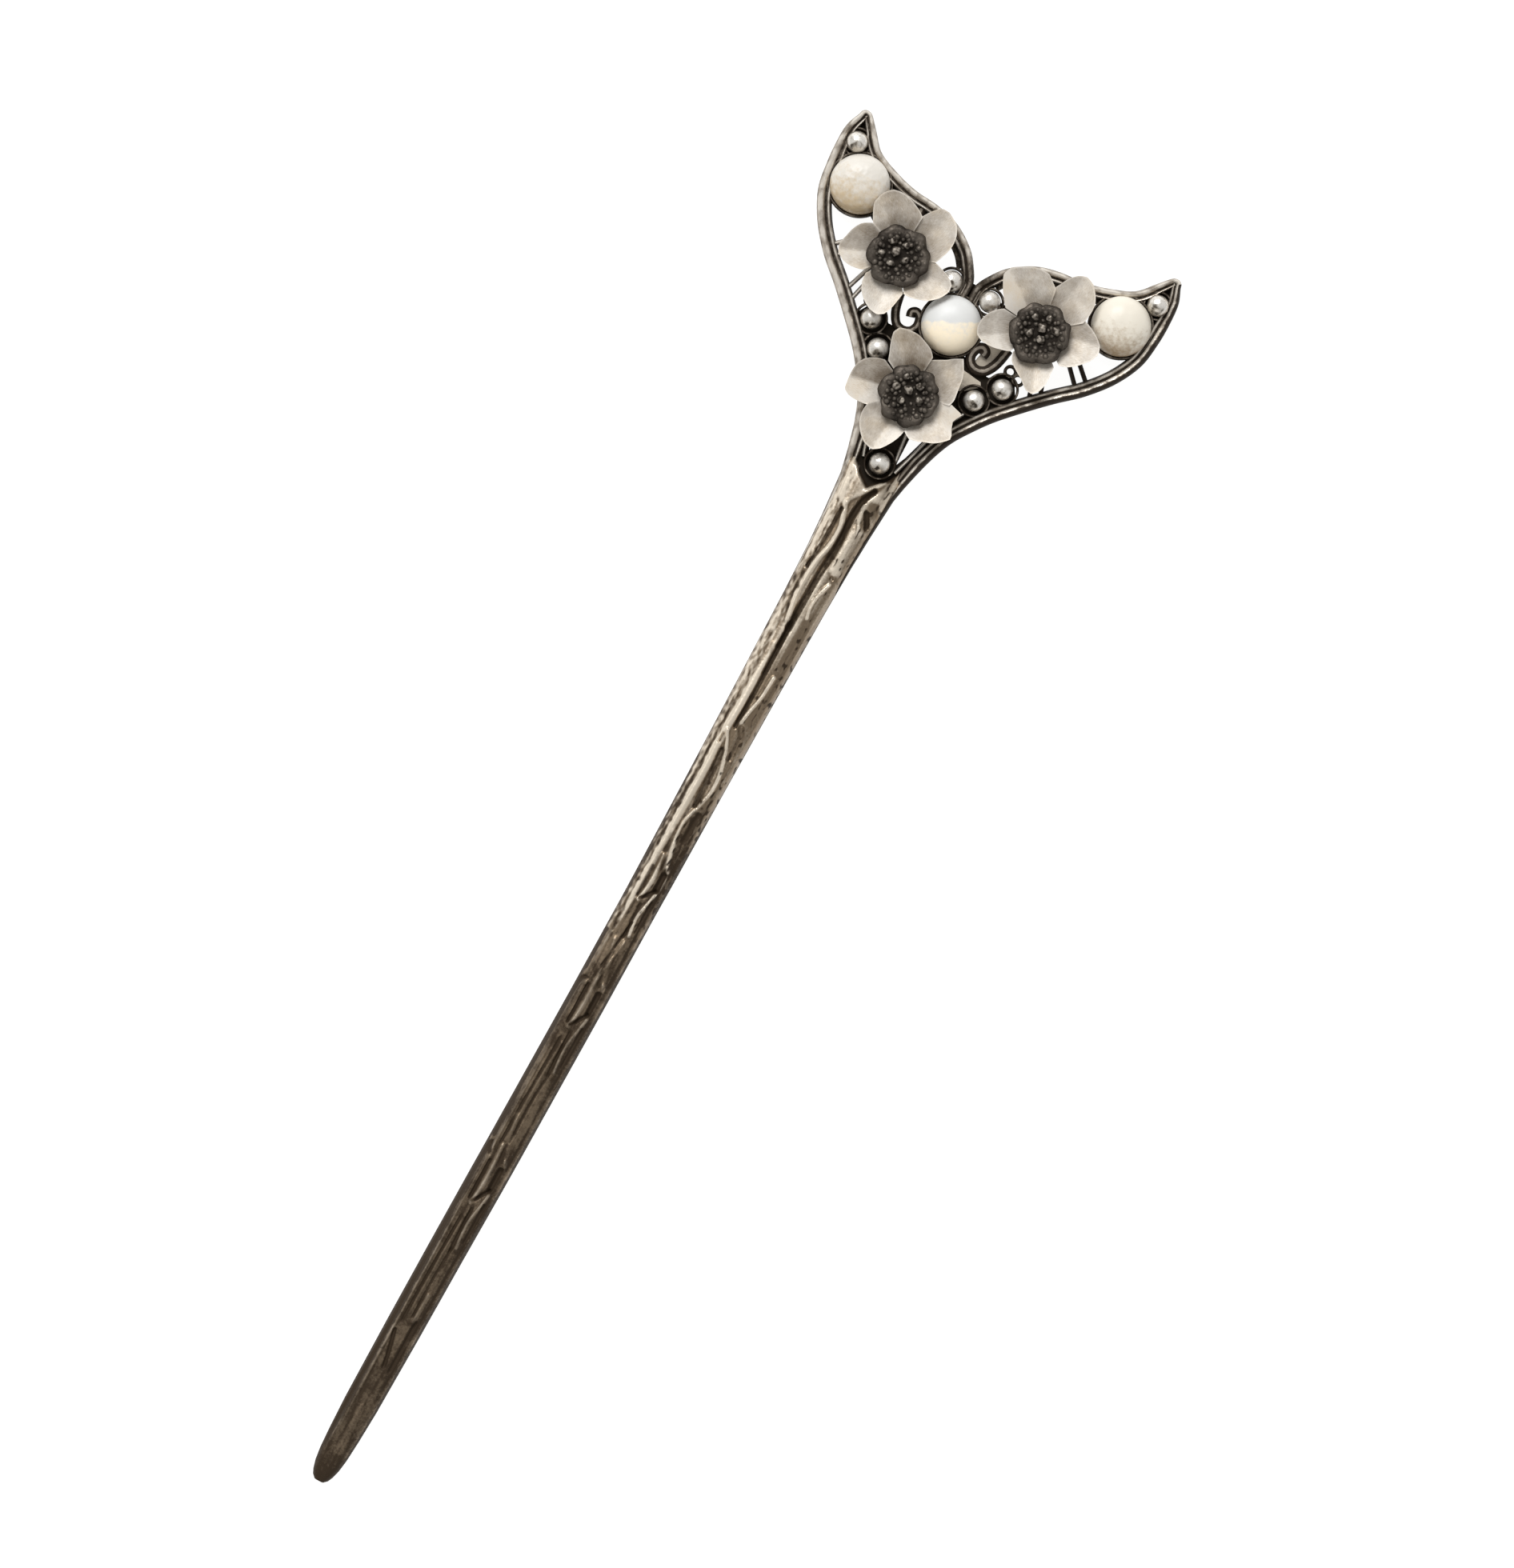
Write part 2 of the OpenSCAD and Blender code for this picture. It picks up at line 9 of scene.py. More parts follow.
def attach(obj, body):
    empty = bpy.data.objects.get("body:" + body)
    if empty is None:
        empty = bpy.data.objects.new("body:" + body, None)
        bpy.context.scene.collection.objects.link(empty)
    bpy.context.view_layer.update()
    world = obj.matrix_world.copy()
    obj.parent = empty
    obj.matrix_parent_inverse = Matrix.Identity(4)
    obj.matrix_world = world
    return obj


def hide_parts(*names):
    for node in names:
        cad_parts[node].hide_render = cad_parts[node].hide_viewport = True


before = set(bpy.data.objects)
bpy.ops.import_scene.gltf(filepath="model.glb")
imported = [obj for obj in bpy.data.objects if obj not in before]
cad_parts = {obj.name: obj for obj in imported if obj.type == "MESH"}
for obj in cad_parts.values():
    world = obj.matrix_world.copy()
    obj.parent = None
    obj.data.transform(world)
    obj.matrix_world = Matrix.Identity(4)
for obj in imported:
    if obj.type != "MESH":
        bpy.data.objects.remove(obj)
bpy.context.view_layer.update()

# The shaft. It is the lower part of the one casting, in zinc alloy plated with silver and blackened: a bar
# that widens from a blunt point to the neck, flat behind. Its face carries scrolling lines that were
# cast in and then polished bright, and the black is left in the hollows between them.
total_length = 169.4
neck_from_point = 131.0
middle = total_length / 2
shaft_width = 4.5
shaft_thickness = 2.6
relief_height = 0.45
# Columns: distance from the point, share of the width to each side
shaft_sides = np.array([[0, 0.13], [0.4, 0.22], [1, 0.28], [2, 0.34], [3.5, 0.385], [6, 0.42], [10, 0.455],
    [20, 0.48], [40, 0.5], [76, 0.5], [92, 0.53], [104, 0.56], [116, 0.6], [122, 0.64], [126, 0.69],
    [129, 0.74], [133, 0.81]])
# Columns: distance from the point, share of the thickness
shaft_depths = np.array([[0, 0.34], [1, 0.5], [3, 0.65], [8, 0.8], [20, 0.92], [60, 1], [104, 1.04],
    [133, 1.08]])
# Columns: distance from the point, how far the middle line lies to the right
shaft_bow = np.array([[0, -0.34], [12, -0.24], [30, -0.08], [44, 0.1], [64, 0.28], [80, 0.34], [124, 0.33],
    [134, 0.28], [148, 0]])
# Each row: height as a share of relief_height (negative is a hollow), half width, then the line it follows
# in columns across, from the point
motif = [
    [0.75, 0.42, [[-0.35, -3.4], [-0.1, -1.5], [-0.05, 1], [-0.25, 4.2]]],
    [-1.1, 0.45, [[0.95, 1.4], [0.95, -1.2]]],
    [-0.7, 0.28, [[0.95, -1.3], [-0.25, -3.2]]],
    [0.65, 0.26, [[1.15, -1.8], [0.65, -4.6], [0.5, -6.5], [0.75, -9]]],
    [0.5, 0.32, [[1.15, 2], [0.9, 2.6]]],
    [0.3, 0.4, [[0.9, 2.6], [0.3, 4.8], [-0.5, 8]]],
    [-0.5, 0.22, [[1.2, -3], [1.15, -8]]],
    [-0.4, 0.25, [[0.15, -4], [0.25, -9.5]]],
    [-0.5, 0.22, [[-0.72, -3], [-0.72, 2]]]]
# Columns: distance from the point of one repeat of the motif, shift to the right, share of its size
motif_at = [[40.2, 0, 1], [63.4, 0.2, 1], [79.4, 0.25, 0.78]]
# Half width of the broad ridge, which sinks slowly into the face at both its ends
broad = 0.7
# The lines that do not repeat, in the same columns
own_lines = [
    [0.45, 0.3, [[-1.3, 4], [-1.3, 41], [-0.95, 42.3]]],
    [-0.7, 0.34, [[-1.82, 3], [-1.82, 40.5], [-1.2, 42.9]]],
    [0.45, 0.3, [[-1.15, 43.6], [-1.2, 46], [-1.15, 64], [-0.8, 65.3]]],
    [-0.7, 0.34, [[-1.75, 45], [-1.7, 63.5], [-1.05, 65.9]]],
    [0.4, 0.3, [[-1.2, 66.5], [-1.15, 69], [-1.1, 72]]],
    [-0.6, 0.3, [[-1.7, 67], [-1.65, 72]]],
    [-0.35, 0.2, [[-0.75, 21], [-0.7, 28], [-0.55, 35]]],
    [0.25, 0.2, [[-0.4, 22], [-0.35, 30], [-0.1, 36]]],
    [-0.3, 0.2, [[0.15, 22], [0.1, 27], [0.3, 31]]],
    [-0.35, 0.2, [[-0.6, 44.5], [-0.55, 50], [-0.35, 58.5]]],
    [0.25, 0.2, [[-0.2, 45], [-0.15, 52], [0.1, 58]]],
    [-0.3, 0.2, [[0.35, 45], [0.3, 50], [0.55, 54]]],
    [-0.4, 0.2, [[-0.3, 66.5], [0.1, 70], [0.6, 74]]],
    [0.3, 0.2, [[0.1, 65.6], [0.5, 68.5], [0.9, 71.5]]],
    [-0.6, 0.3, [[-1, 19.7], [-0.35, 17], [-0.05, 15.3]]],
    [-0.6, 0.3, [[0.8, 21.5], [0.8, 15]]],
    [0.5, 0.35, [[0.5, 21.4], [0.55, 25]]],
    [0.25, 0.5, [[0.2, 5], [-0.1, 10]]],
    [0.75, broad, [[-1, 72], [-0.9, 80], [-0.8, 88], [-0.7, 94], [-0.8, 98], [-0.62, 101], [-0.58, 106],
        [-0.7, 111]]],
    [0.75, 0.3, [[0.9, 82], [0.35, 84.8], [0.2, 87], [0.9, 89.5], [1.35, 91.5], [1.3, 93.5], [0.8, 95.8],
        [0.1, 97.7], [-0.4, 98.8]]],
    [-0.8, 0.45, [[0.5, 89.3], [0.4, 91], [0.35, 93], [0.1, 96.4]]],
    [-0.8, 0.5, [[1.3, 85], [1.35, 88.5]]],
    [-0.8, 0.5, [[1.4, 95.8], [1.35, 98.5], [0.9, 99.6]]],
    [-0.8, 0.24, [[-0.6, 97.2], [-0.6, 98.2]]],
    [0.7, 0.32, [[0.5, 100.2], [0.85, 102], [1.25, 104], [1.4, 106.5]]],
    [-0.8, 0.32, [[0.15, 99.5], [0.25, 105], [0.15, 112]]],
    [-0.4, 0.36, [[0.12, 106.5], [0.1, 110], [0.12, 114]]],
    [0.9, 0.42, [[-0.4, 113.3], [-0.9, 116], [-0.95, 118.5], [-0.7, 121], [-0.3, 122.7], [-0.1, 124.3],
        [-0.15, 125.7], [-0.6, 127], [-0.95, 128.4]]],
    [-0.6, 0.45, [[0.12, 110], [0.15, 113]]],
    [-1.3, 0.5, [[0.12, 112.4], [0.15, 116], [0.25, 119.5], [0.5, 123], [0.4, 127], [0.65, 129.4],
        [1.3, 131]]],
    [0.4, 0.9, [[1.8, 120.8], [1.8, 126]]],
    [-1, 0.36, [[1.75, 119.8], [1.75, 119.7]]],
    [0.6, 0.26, [[1.9, 119], [1.4, 117.5], [1.2, 115.8], [1.45, 114.4]]],
    [-1, 0.45, [[1.75, 128.3], [2.5, 126.8]]],
    [0.5, 0.24, [[1, 129], [1.35, 127.2], [1.9, 125.9]]],
    [-0.9, 0.3, [[-1.4, 119.8], [-1.15, 123], [-1.05, 127.5]]],
    [0.5, 0.3, [[0.35, 130.4], [1.1, 131.2], [2, 132.4]]]]
# Flat facets. Each row: lift as a share of relief_height, how bright it is rubbed, then its outline in
# columns across, from the point
facets = [
    [0.0, 0.6, [[-0.85, 72], [-0.4, 78], [-0.22, 88], [-0.1, 94], [-0.25, 98], [-0.1, 101], [-0.1, 105],
        [-0.45, 109.4], [-0.9, 105], [-0.95, 101], [-1.02, 88], [-1.12, 79]]],
    [-0.15, 0.1, [[-0.05, 83], [0.12, 85], [0.1, 87.5], [0.7, 90], [1.1, 92], [1.05, 93.5], [0.5, 95.8],
        [-0.1, 97.2], [-0.1, 94], [-0.15, 88]]],
    [0.5, 0.33, [[-2.75, 134], [-2.5, 130.5], [-2.1, 128.4], [-0.95, 127.8], [-0.45, 129], [0.4, 130.2],
        [2.05, 132.6], [1.2, 131.95], [0.3, 130.95], [-1.2, 132.05], [-2.3, 133.2]]],
    [0.1, 0.3, [[1, 120.4], [2.5, 120.1], [2.8, 126.4], [2.4, 126.2], [1.2, 125.8]]],
    [0.1, 0.55, [[1.3, 129.7], [2.1, 132.1], [3, 134.4], [3.4, 134.4], [3.15, 128.6], [2.5, 129.9]]],
    [0.15, 0.45, [[0.35, 84.6], [0.2, 82.6], [0.8, 80.9], [1.2, 81.6], [0.9, 84.2]]],
    [-0.1, 0.12, [[-0.85, 110.2], [-0.1, 110.4], [-0.15, 113.6], [-0.9, 113.2]]]]
neck_pocket = [[-2.35, 136], [-2.35, 133.35], [-1.2, 132.05], [0.3, 130.95], [1.2, 131.95], [2.05, 132.6],
    [2.7, 133.9], [2.6, 136]]


def read_off(table, at):
    table = np.asarray(table, float)
    return np.interp(at, table[:, 0], table[:, 1])


def ramp(value, start, width):
    """0 up to the start and 1 from a width beyond it. A negative width makes it rise downwards."""
    return np.clip((value - start) / width, 0, 1)


def hump(value, top, half):
    """1 at the top, falling to 0 at half on either side of it."""
    return np.clip(1 - ((value - top) / half) ** 2, 0, 1)


def rounded_line(line, n):
    """A smooth curve through a line's points, with n stretches between two of them."""
    line = np.asarray(line, float)
    padded = np.vstack([line[:1], line, line[-1:]])
    out = []
    for a, b, c, d in zip(padded[:-3], padded[1:-2], padded[2:-1], padded[3:]):
        for t in np.arange(n) / n:
            out.append(0.5 * (2 * b + (c - a) * t + (2 * a - 5 * b + 4 * c - d) * t * t
                              + (3 * b - a - 3 * c + d) * t ** 3))
    return np.array(out + [line[-1]])


def distance_to(line, x, y):
    nearest = np.full(np.broadcast(x, y).shape, 9.0)
    for (ax, ay), (bx, by) in zip(line[:-1], line[1:]):
        dx, dy = bx - ax, by - ay
        t = np.clip(((x - ax) * dx + (y - ay) * dy) / (dx * dx + dy * dy), 0, 1)
        nearest = np.minimum(nearest, np.hypot(x - ax - t * dx, y - ay - t * dy))
    return nearest


def inside(loop, x, y):
    """1 inside the closed line and 0 outside it."""
    odd = np.zeros(np.broadcast(x, y).shape, bool)
    for (ax, ay), (bx, by) in zip(loop, loop[1:] + loop[:1]):
        if ay != by:
            odd ^= ((ay > y) != (by > y)) & (x < ax + (bx - ax) * (y - ay) / (by - ay))
    return odd * 1.0


def smear(field, sigma):
    """The field averaged over its neighbours, sigma rows and columns wide."""
    for axis, width in enumerate(sigma):
        k = np.arange(-int(3 * width) - 1, int(3 * width) + 2)
        weight = np.exp(-k * k / (2 * width * width))
        weight /= weight.sum()
        pad = [(0, 0), (0, 0)]
        pad[axis] = (len(k) // 2, len(k) // 2)
        field = np.apply_along_axis(np.convolve, axis, np.pad(field, pad, "edge"), weight, "valid")
    return field


def speckle(points, size, seed=0.0):
    """Soft noise from -1 to 1 at each point, with grains of the given size in mm."""
    return np.array([noise.noise(Vector((x / size + seed, y / size, z / size))) for x, y, z in points])


def streaky(x, y, wide, long, seed):
    """Soft noise from -1 to 1 over a face, with grains as wide and as long as given in mm."""
    return np.array([noise.noise(Vector((px / wide, py / long, seed)))
                     for px, py in zip(x.ravel(), y.ravel())]).reshape(x.shape)


across_step, along_step = 0.05, 0.1
grid_x = np.arange(-4.4, 4.4, across_step)
grid_y = np.arange(-1, 136, along_step)
relief = np.zeros((len(grid_y), len(grid_x)))
lines = own_lines + [[h, w, [[p[0] + m[1], m[0] + p[1] * m[2]] for p in line]]
                     for m in motif_at for h, w, line in motif]
for height, half, line in lines:
    line = rounded_line(line, 6) if len(line) > 2 else np.array(line, float)
    first, last = line[:, 1].min(), line[:, 1].max()
    rows = (grid_y > first - 1) & (grid_y < last + 1)
    across, along = grid_x[None, :], grid_y[rows, None]
    ridge = height * relief_height * hump(distance_to(line, across, along), 0, half) ** 1.5
    if half == broad:
        ridge *= ramp(along, first, 6) * ramp(along, last, -10)
    relief[rows] += ridge
rubbed_facets = np.zeros(relief.shape)
for lift, rubbed_and_lit, loop in facets:
    mask = smear(inside(loop, grid_x[None, :], grid_y[:, None]), (1.2, 1.6))
    relief += lift * relief_height * mask
    rubbed_facets += rubbed_and_lit * mask
relief *= ramp(grid_y, 3, 4)[:, None]
pocket = smear(inside(neck_pocket, grid_x[None, :], grid_y[:, None]), (1.4, 2))
dips = np.clip((smear(relief, (4.8, 9.6)) - relief) / relief_height * 1.6, 0, 1)
dips = np.maximum(dips, np.clip(-relief / relief_height, 0, 1))
tops = np.clip((relief - smear(relief, (6, 11))) / relief_height * 1.8, 0, 1)


def look_up(field, x, y):
    i = np.clip((y - grid_y[0]) / along_step, 0, len(grid_y) - 1.001)
    j = np.clip((x - grid_x[0]) / across_step, 0, len(grid_x) - 1.001)
    i0, j0 = i.astype(int), j.astype(int)
    u, v = i - i0, j - j0
    return ((field[i0, j0] * (1 - v) + field[i0, j0 + 1] * v) * (1 - u)
            + (field[i0 + 1, j0] * (1 - v) + field[i0 + 1, j0 + 1] * v) * u)


def closed_skin(rings):
    """Faces over rings of points, an array of rings x points x 3, with both ends closed."""
    count, n = rings.shape[:2]
    faces = [tuple(range(n))]
    for i in range(count - 1):
        faces += [(i * n + j, (i + 1) * n + j, (i + 1) * n + k, i * n + k)
                  for j, k in zip(range(n), [*range(1, n), 0])]
    faces.append(tuple(reversed(range((count - 1) * n, count * n))))
    return rings.reshape(-1, 3), faces


def write_mark(mesh, mark, values):
    """Stores one number for each point of a mesh, for its material to read."""
    layer = mesh.attributes.new(mark, "FLOAT", "POINT")
    layer.data.foreach_set("value", np.concatenate(values).astype(np.float32))


def make_piece(name, parts, finish, corner=40):
    """One mesh from parts, each (points in mm, faces, dark mark, bright mark); the two marks hold wear and
    painted light and shade.
    """
    points, faces, hollow, raised = [], [], [], []
    start = 0
    for part_points, part_faces, part_hollow, part_raised in parts:
        count = len(part_points)
        points.append(np.asarray(part_points, float))
        faces += [tuple(i + start for i in f) for f in part_faces]
        hollow.append(np.broadcast_to(part_hollow, count))
        raised.append(np.broadcast_to(part_raised, count))
        start += count
    mesh = bpy.data.meshes.new(name)
    mesh.from_pydata((np.vstack(points) * 0.001).tolist(), [], faces)
    write_mark(mesh, "hollow", hollow)
    write_mark(mesh, "raised", raised)
    mesh.shade_smooth()
    mesh.set_sharp_from_angle(angle=math.radians(corner))
    mesh.materials.append(finish)
    piece = bpy.data.objects.new(name, mesh)
    bpy.context.scene.collection.objects.link(piece)
    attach(piece, "root")
    return piece


def add_node(tree, kind, inputs=(), **settings):
    made = tree.nodes.new("ShaderNode" + kind)
    for key, value in settings.items():
        setattr(made, key, value)
    for key, value in dict(inputs).items():
        if isinstance(value, bpy.types.NodeSocket):
            tree.links.new(value, made.inputs[key])
        else:
            made.inputs[key].default_value = value
    return made


def figure(tree, operation, a, b=0.0):
    return add_node(tree, "Math", {0: a, 1: b}, operation=operation).outputs[0]


def added(tree, a, share, b):
    """A share of a, added to b."""
    return add_node(tree, "Math", {0: a, 1: share, 2: b}, operation="MULTIPLY_ADD").outputs[0]


def spread_out(tree, value, low, high, kind="LINEAR"):
    """0 where the value is at its low end and 1 at its high end."""
    return add_node(tree, "MapRange", {0: value, 1: low, 2: high}, interpolation_type=kind).outputs[0]


def cloudy(tree, place, scale, detail, rough=0.5):
    """Soft noise. The scale counts its grains in one metre."""
    return add_node(tree, "TexNoise", {"Vector": place, "Scale": scale, "Detail": detail,
                                       "Roughness": rough}).outputs[0]


def cells(tree, place, scale):
    return add_node(tree, "TexVoronoi", {"Vector": place, "Scale": scale}).outputs["Distance"]


def blended(tree, share, a, b):
    return add_node(tree, "Mix", {0: share, 6: a, 7: b}, data_type="RGBA").outputs[2]


def new_group(name, inputs, outputs):
    """A shader node group with named number and colour sockets, what it is given and what it puts out."""
    tree = bpy.data.node_groups.new(name, "ShaderNodeTree")
    for label, value in inputs:
        colour = isinstance(value, tuple)
        socket = tree.interface.new_socket(label, in_out="INPUT",
                                           socket_type="NodeSocketColor" if colour else "NodeSocketFloat")
        socket.default_value = (*value, 1) if colour else value
    for label in outputs:
        tree.interface.new_socket(label, in_out="OUTPUT",
                                  socket_type="NodeSocketColor" if label == "Color" else "NodeSocketFloat")
    return tree, tree.nodes.new("NodeGroupInput").outputs, tree.nodes.new("NodeGroupOutput").inputs


def put_out(tree, result, **values):
    """Links what a group has worked out to its outputs."""
    for label, value in values.items():
        tree.links.new(value, result[label])


# Old silver: plate over black. Polished tops stay bright, hollows hold the black, and both are broken up
# by blotches and fine grain. The two marks it reads also carry painted light and painted shade.
old_silver, given, result = new_group(
    "Old silver",
    [("Hollow", 0.0), ("Bright and lit", 0.0), ("Silver", (0.7, 0.67, 0.61)), ("Bright", (0.9, 0.87, 0.8)),
     ("Black", (0.02, 0.014, 0.009)), ("Blackening", 0.0), ("Blotch size", 3.0), ("Polish", 0.32)],
    ["Color", "Roughness", "Metal", "Height"])
place = add_node(old_silver, "TexCoord").outputs["Object"]
blotch_scale = figure(old_silver, "DIVIDE", 1000.0, given["Blotch size"])
blotches = cloudy(old_silver, place, blotch_scale, 5.0, 0.62)
grain = cloudy(old_silver, place, 3400.0, 4.0, 0.7)
grainy = added(old_silver, grain, 1.1, -0.55)
dark = added(old_silver, given["Hollow"], 1.15, added(old_silver, blotches, 1.5, -0.75))
dark = figure(old_silver, "ADD", dark, grainy)
dark = figure(old_silver, "ADD", dark, given["Blackening"])
dark = added(old_silver, given["Bright and lit"], -0.7, dark)
dark = spread_out(old_silver, dark, -0.1, 0.95, "SMOOTHSTEP")
rubbed_and_lit = added(old_silver, grainy, 0.5, given["Bright and lit"])
polished = spread_out(old_silver, rubbed_and_lit, 0.1, 0.75, "SMOOTHSTEP")
plate = blended(old_silver, polished, given["Silver"], given["Bright"])
bumps = added(old_silver, cells(old_silver, place, 2600.0), 0.35, figure(old_silver, "MULTIPLY", grain, 0.8))
put_out(old_silver, result,
        Color=blended(old_silver, dark, plate, given["Black"]),
        Roughness=added(old_silver, grainy, 0.2, added(old_silver, dark, 0.28, given["Polish"])),
        Metal=added(old_silver, polished, -0.42, added(old_silver, dark, -0.5, 0.94)),
        Height=added(old_silver, dark, -0.3, bumps))


def finish_from(group, name, marks, values, bump, bump_depth):
    """A material whose looks come from a group, which reads the marks of a piece."""
    finish = bpy.data.materials.new(name)
    finish.use_nodes = True
    tree = finish.node_tree
    shader = tree.nodes["Principled BSDF"]
    look = tree.nodes.new("ShaderNodeGroup")
    look.node_tree = group
    for socket, mark in marks.items():
        tree.links.new(add_node(tree, "Attribute", attribute_name=mark).outputs["Fac"], look.inputs[socket])
    for socket, value in values.items():
        look.inputs[socket].default_value = (*value, 1) if isinstance(value, tuple) else value
    tree.links.new(look.outputs["Color"], shader.inputs["Base Color"])
    tree.links.new(look.outputs["Roughness"], shader.inputs["Roughness"])
    relief_node = add_node(tree, "Bump", {"Strength": bump, "Distance": bump_depth,
                                          "Height": look.outputs["Height"]})
    tree.links.new(relief_node.outputs[0], shader.inputs["Normal"])
    return finish, shader, look


def silver_finish(name, silver, bright, black, blackening, blotch, polish, bump=0.35):
    """Old silver that reads a piece's two marks of wear and of painted light and shade. The blotch size is in
    mm.
    """
    finish, shader, look = finish_from(
        old_silver, name, {"Hollow": "hollow", "Bright and lit": "raised"},
        {"Silver": silver, "Bright": bright, "Black": black, "Blackening": blackening, "Blotch size": blotch,
         "Polish": polish}, bump, 0.00008)
    finish.node_tree.links.new(look.outputs["Metal"], shader.inputs["Metallic"])
    shader.inputs["Specular IOR Level"].default_value = 0.25
    return finish


stations = np.concatenate([3 * (np.arange(14) / 14) ** 1.6, np.arange(3, 72, 0.2), np.arange(72, 126, 0.13),
                           np.arange(126, 134.61, 0.07)])
# The columns of points lie closer together towards the edges of the face.
widest_turn = 1.42
face_share = 0.985
face = np.sin(np.linspace(-1, 1, 75) * widest_turn) / math.sin(widest_turn) * face_share
from_middle = np.abs(face)
half = shaft_width * read_off(shaft_sides, stations)
thick = shaft_thickness * read_off(shaft_depths, stations)
line_x = read_off(shaft_bow, stations)
shaft_y = stations - middle
x = line_x[:, None] + half[:, None] * face[None, :]
along = np.repeat(stations[:, None], len(face), 1)
crown = thick[:, None] * np.sqrt(1 - from_middle ** 3.4)[None, :]
fade = (1 - from_middle ** 8)[None, :]
# A low rim runs along each edge of the face, with a shallow groove inside it.
rim_line = hump(from_middle, 0.82, 0.12)[None, :] * ramp(along, 8, 8)
rim_groove = hump(from_middle, 0.64, 0.1)[None, :] * ramp(along, 8, 8)
carved = look_up(relief, x, along) * fade + 0.1 * rim_line - 0.08 * rim_groove
z = np.maximum(0.45 * crown, crown + carved)
# At the neck the face falls away to the plates between the rails, and a pocket is sunk round the bead.
pocket_floor = 0.75
z = z * (1 - 0.68 * ramp(along, 132.6, 2))
sunk = look_up(pocket, x, along)
z = z * (1 - sunk) + np.minimum(z, pocket_floor) * sunk
rows = np.stack([x, np.repeat(shaft_y[:, None], len(face), 1), z], 2)
# Columns: share of the half width, share of the thickness
edge = np.array([[1.0, 0.3], [0.99, 0.14], [0.93, 0.03], [0.84, 0.0]])
edge_y = np.repeat(shaft_y[:, None], len(edge), 1)
right = np.stack([line_x[:, None] + half[:, None] * edge[:, 0], edge_y,
                  np.minimum(thick[:, None] * edge[:, 1], z[:, -1:])], 2)
left = np.stack([line_x[:, None] - half[:, None] * edge[::-1, 0], edge_y,
                 np.minimum(thick[:, None] * edge[::-1, 1], z[:, :1])], 2)
rings = np.concatenate([left, rows, right], 1)
on_face = slice(len(edge), -len(edge))
shaft_points, shaft_faces = closed_skin(rings)
uneven = speckle(shaft_points, 1.3) * 0.03 + speckle(shaft_points, 0.45, 7.0) * 0.012
lift = np.zeros(rings.shape[:2])
lift[:, on_face] = fade
shaft_points[:, 2] += uneven * lift.ravel()
# Long thin streaks, as in drawn bark, run along the whole face. From the middle of the shaft up the face
# is paler, partly painted reflection of the lamp and partly rubbed wear, most of all on the left side, which
# is painted light on the side towards the lamp; the right side there is painted in shade, with a brown tone.
upper = ramp(along, 68, 6)
streaks = streaky(x, along, 0.38, 6.5, 3.0)
mottled = streaky(x, along, 0.3, 0.8, 9.0) * (0.4 + 0.6 * upper)
lit_and_rubbed_side = upper * ramp(face, -0.42, -0.1)[None, :]
shaded_brown_side = ramp(face, -0.1, 0.3)[None, :] * ramp(along, 70, 8)
# How much darker the left strip, the middle and the right strip are made, at distances from the point
left_black = read_off([[74, 0.05], [82, 0.1], [87, 0.2], [93, 0.2], [98, 0], [106, -0.1], [112, -0.15],
    [118, 0.05], [122, -0.2], [134, -0.25]], along)
middle_black = read_off([[5, 0.1], [10, 0.18], [20, 0.1], [36, 0.06], [46, -0.1], [54, 0], [60, 0.12],
    [68, -0.12], [78, 0], [86, 0], [92, -0.25], [100, -0.15], [106, -0.05], [112, -0.2], [124, -0.2],
    [132, 0]], along)
right_black = read_off([[76, 0.28], [82, 0.28], [90, 0.02], [98, -0.22], [112, -0.15], [116, -0.55],
    [120, -0.5], [122, 0.05]], along)
# How much paler the left strip, as painted light with some rubbed wear, and the rest are made, and where the
# winding line on the right is dimmed; between 92.5 and 94.5 it stays bright, a painted highlight.
pale_left = read_off([[68, 0], [92, 0], [98, 0.12], [106, 0.3], [114, 0.28], [118, 0.02], [122, 0.22],
    [134, 0.3]], along)
pale_rest = read_off([[82, 0], [90, 0.13], [98, 0.08], [108, 0], [112, 0], [116, 0.2], [119, 0.2],
    [121.5, 0]], along)
dull_line = read_off([[80, 0], [82, 0.5], [90.5, 0.5], [92.5, 0], [94.5, 0], [96.5, 0.4], [99, 0.4],
    [100, 0]], along)
black_in_dips = look_up(dips, x, along) * (1.3 - 0.3 * upper) + 0.35 * rim_groove + sunk
black_at_edges = ramp(from_middle, 0.86, 0.08)[None, :] * (0.8 - 0.5 * upper) + 0.3 * ramp(along, 4, -2)
black_strips = lit_and_rubbed_side * left_black + (1 - lit_and_rubbed_side) * middle_black + shaded_brown_side * right_black
black_specks = (0.5 * np.maximum(streaks, 0) + 0.5 * shaded_brown_side * np.clip(mottled - 0.1, 0, 1)
                + (0.6 + 0.9 * shaded_brown_side) * np.maximum(mottled, 0))
hollow = np.full(rings.shape[:2], 1.1)
hollow[:, on_face] = (black_in_dips + black_at_edges + black_strips + black_specks
                      + 0.26 * (1 - upper) - 0.18 * ramp(along, 84, 8))
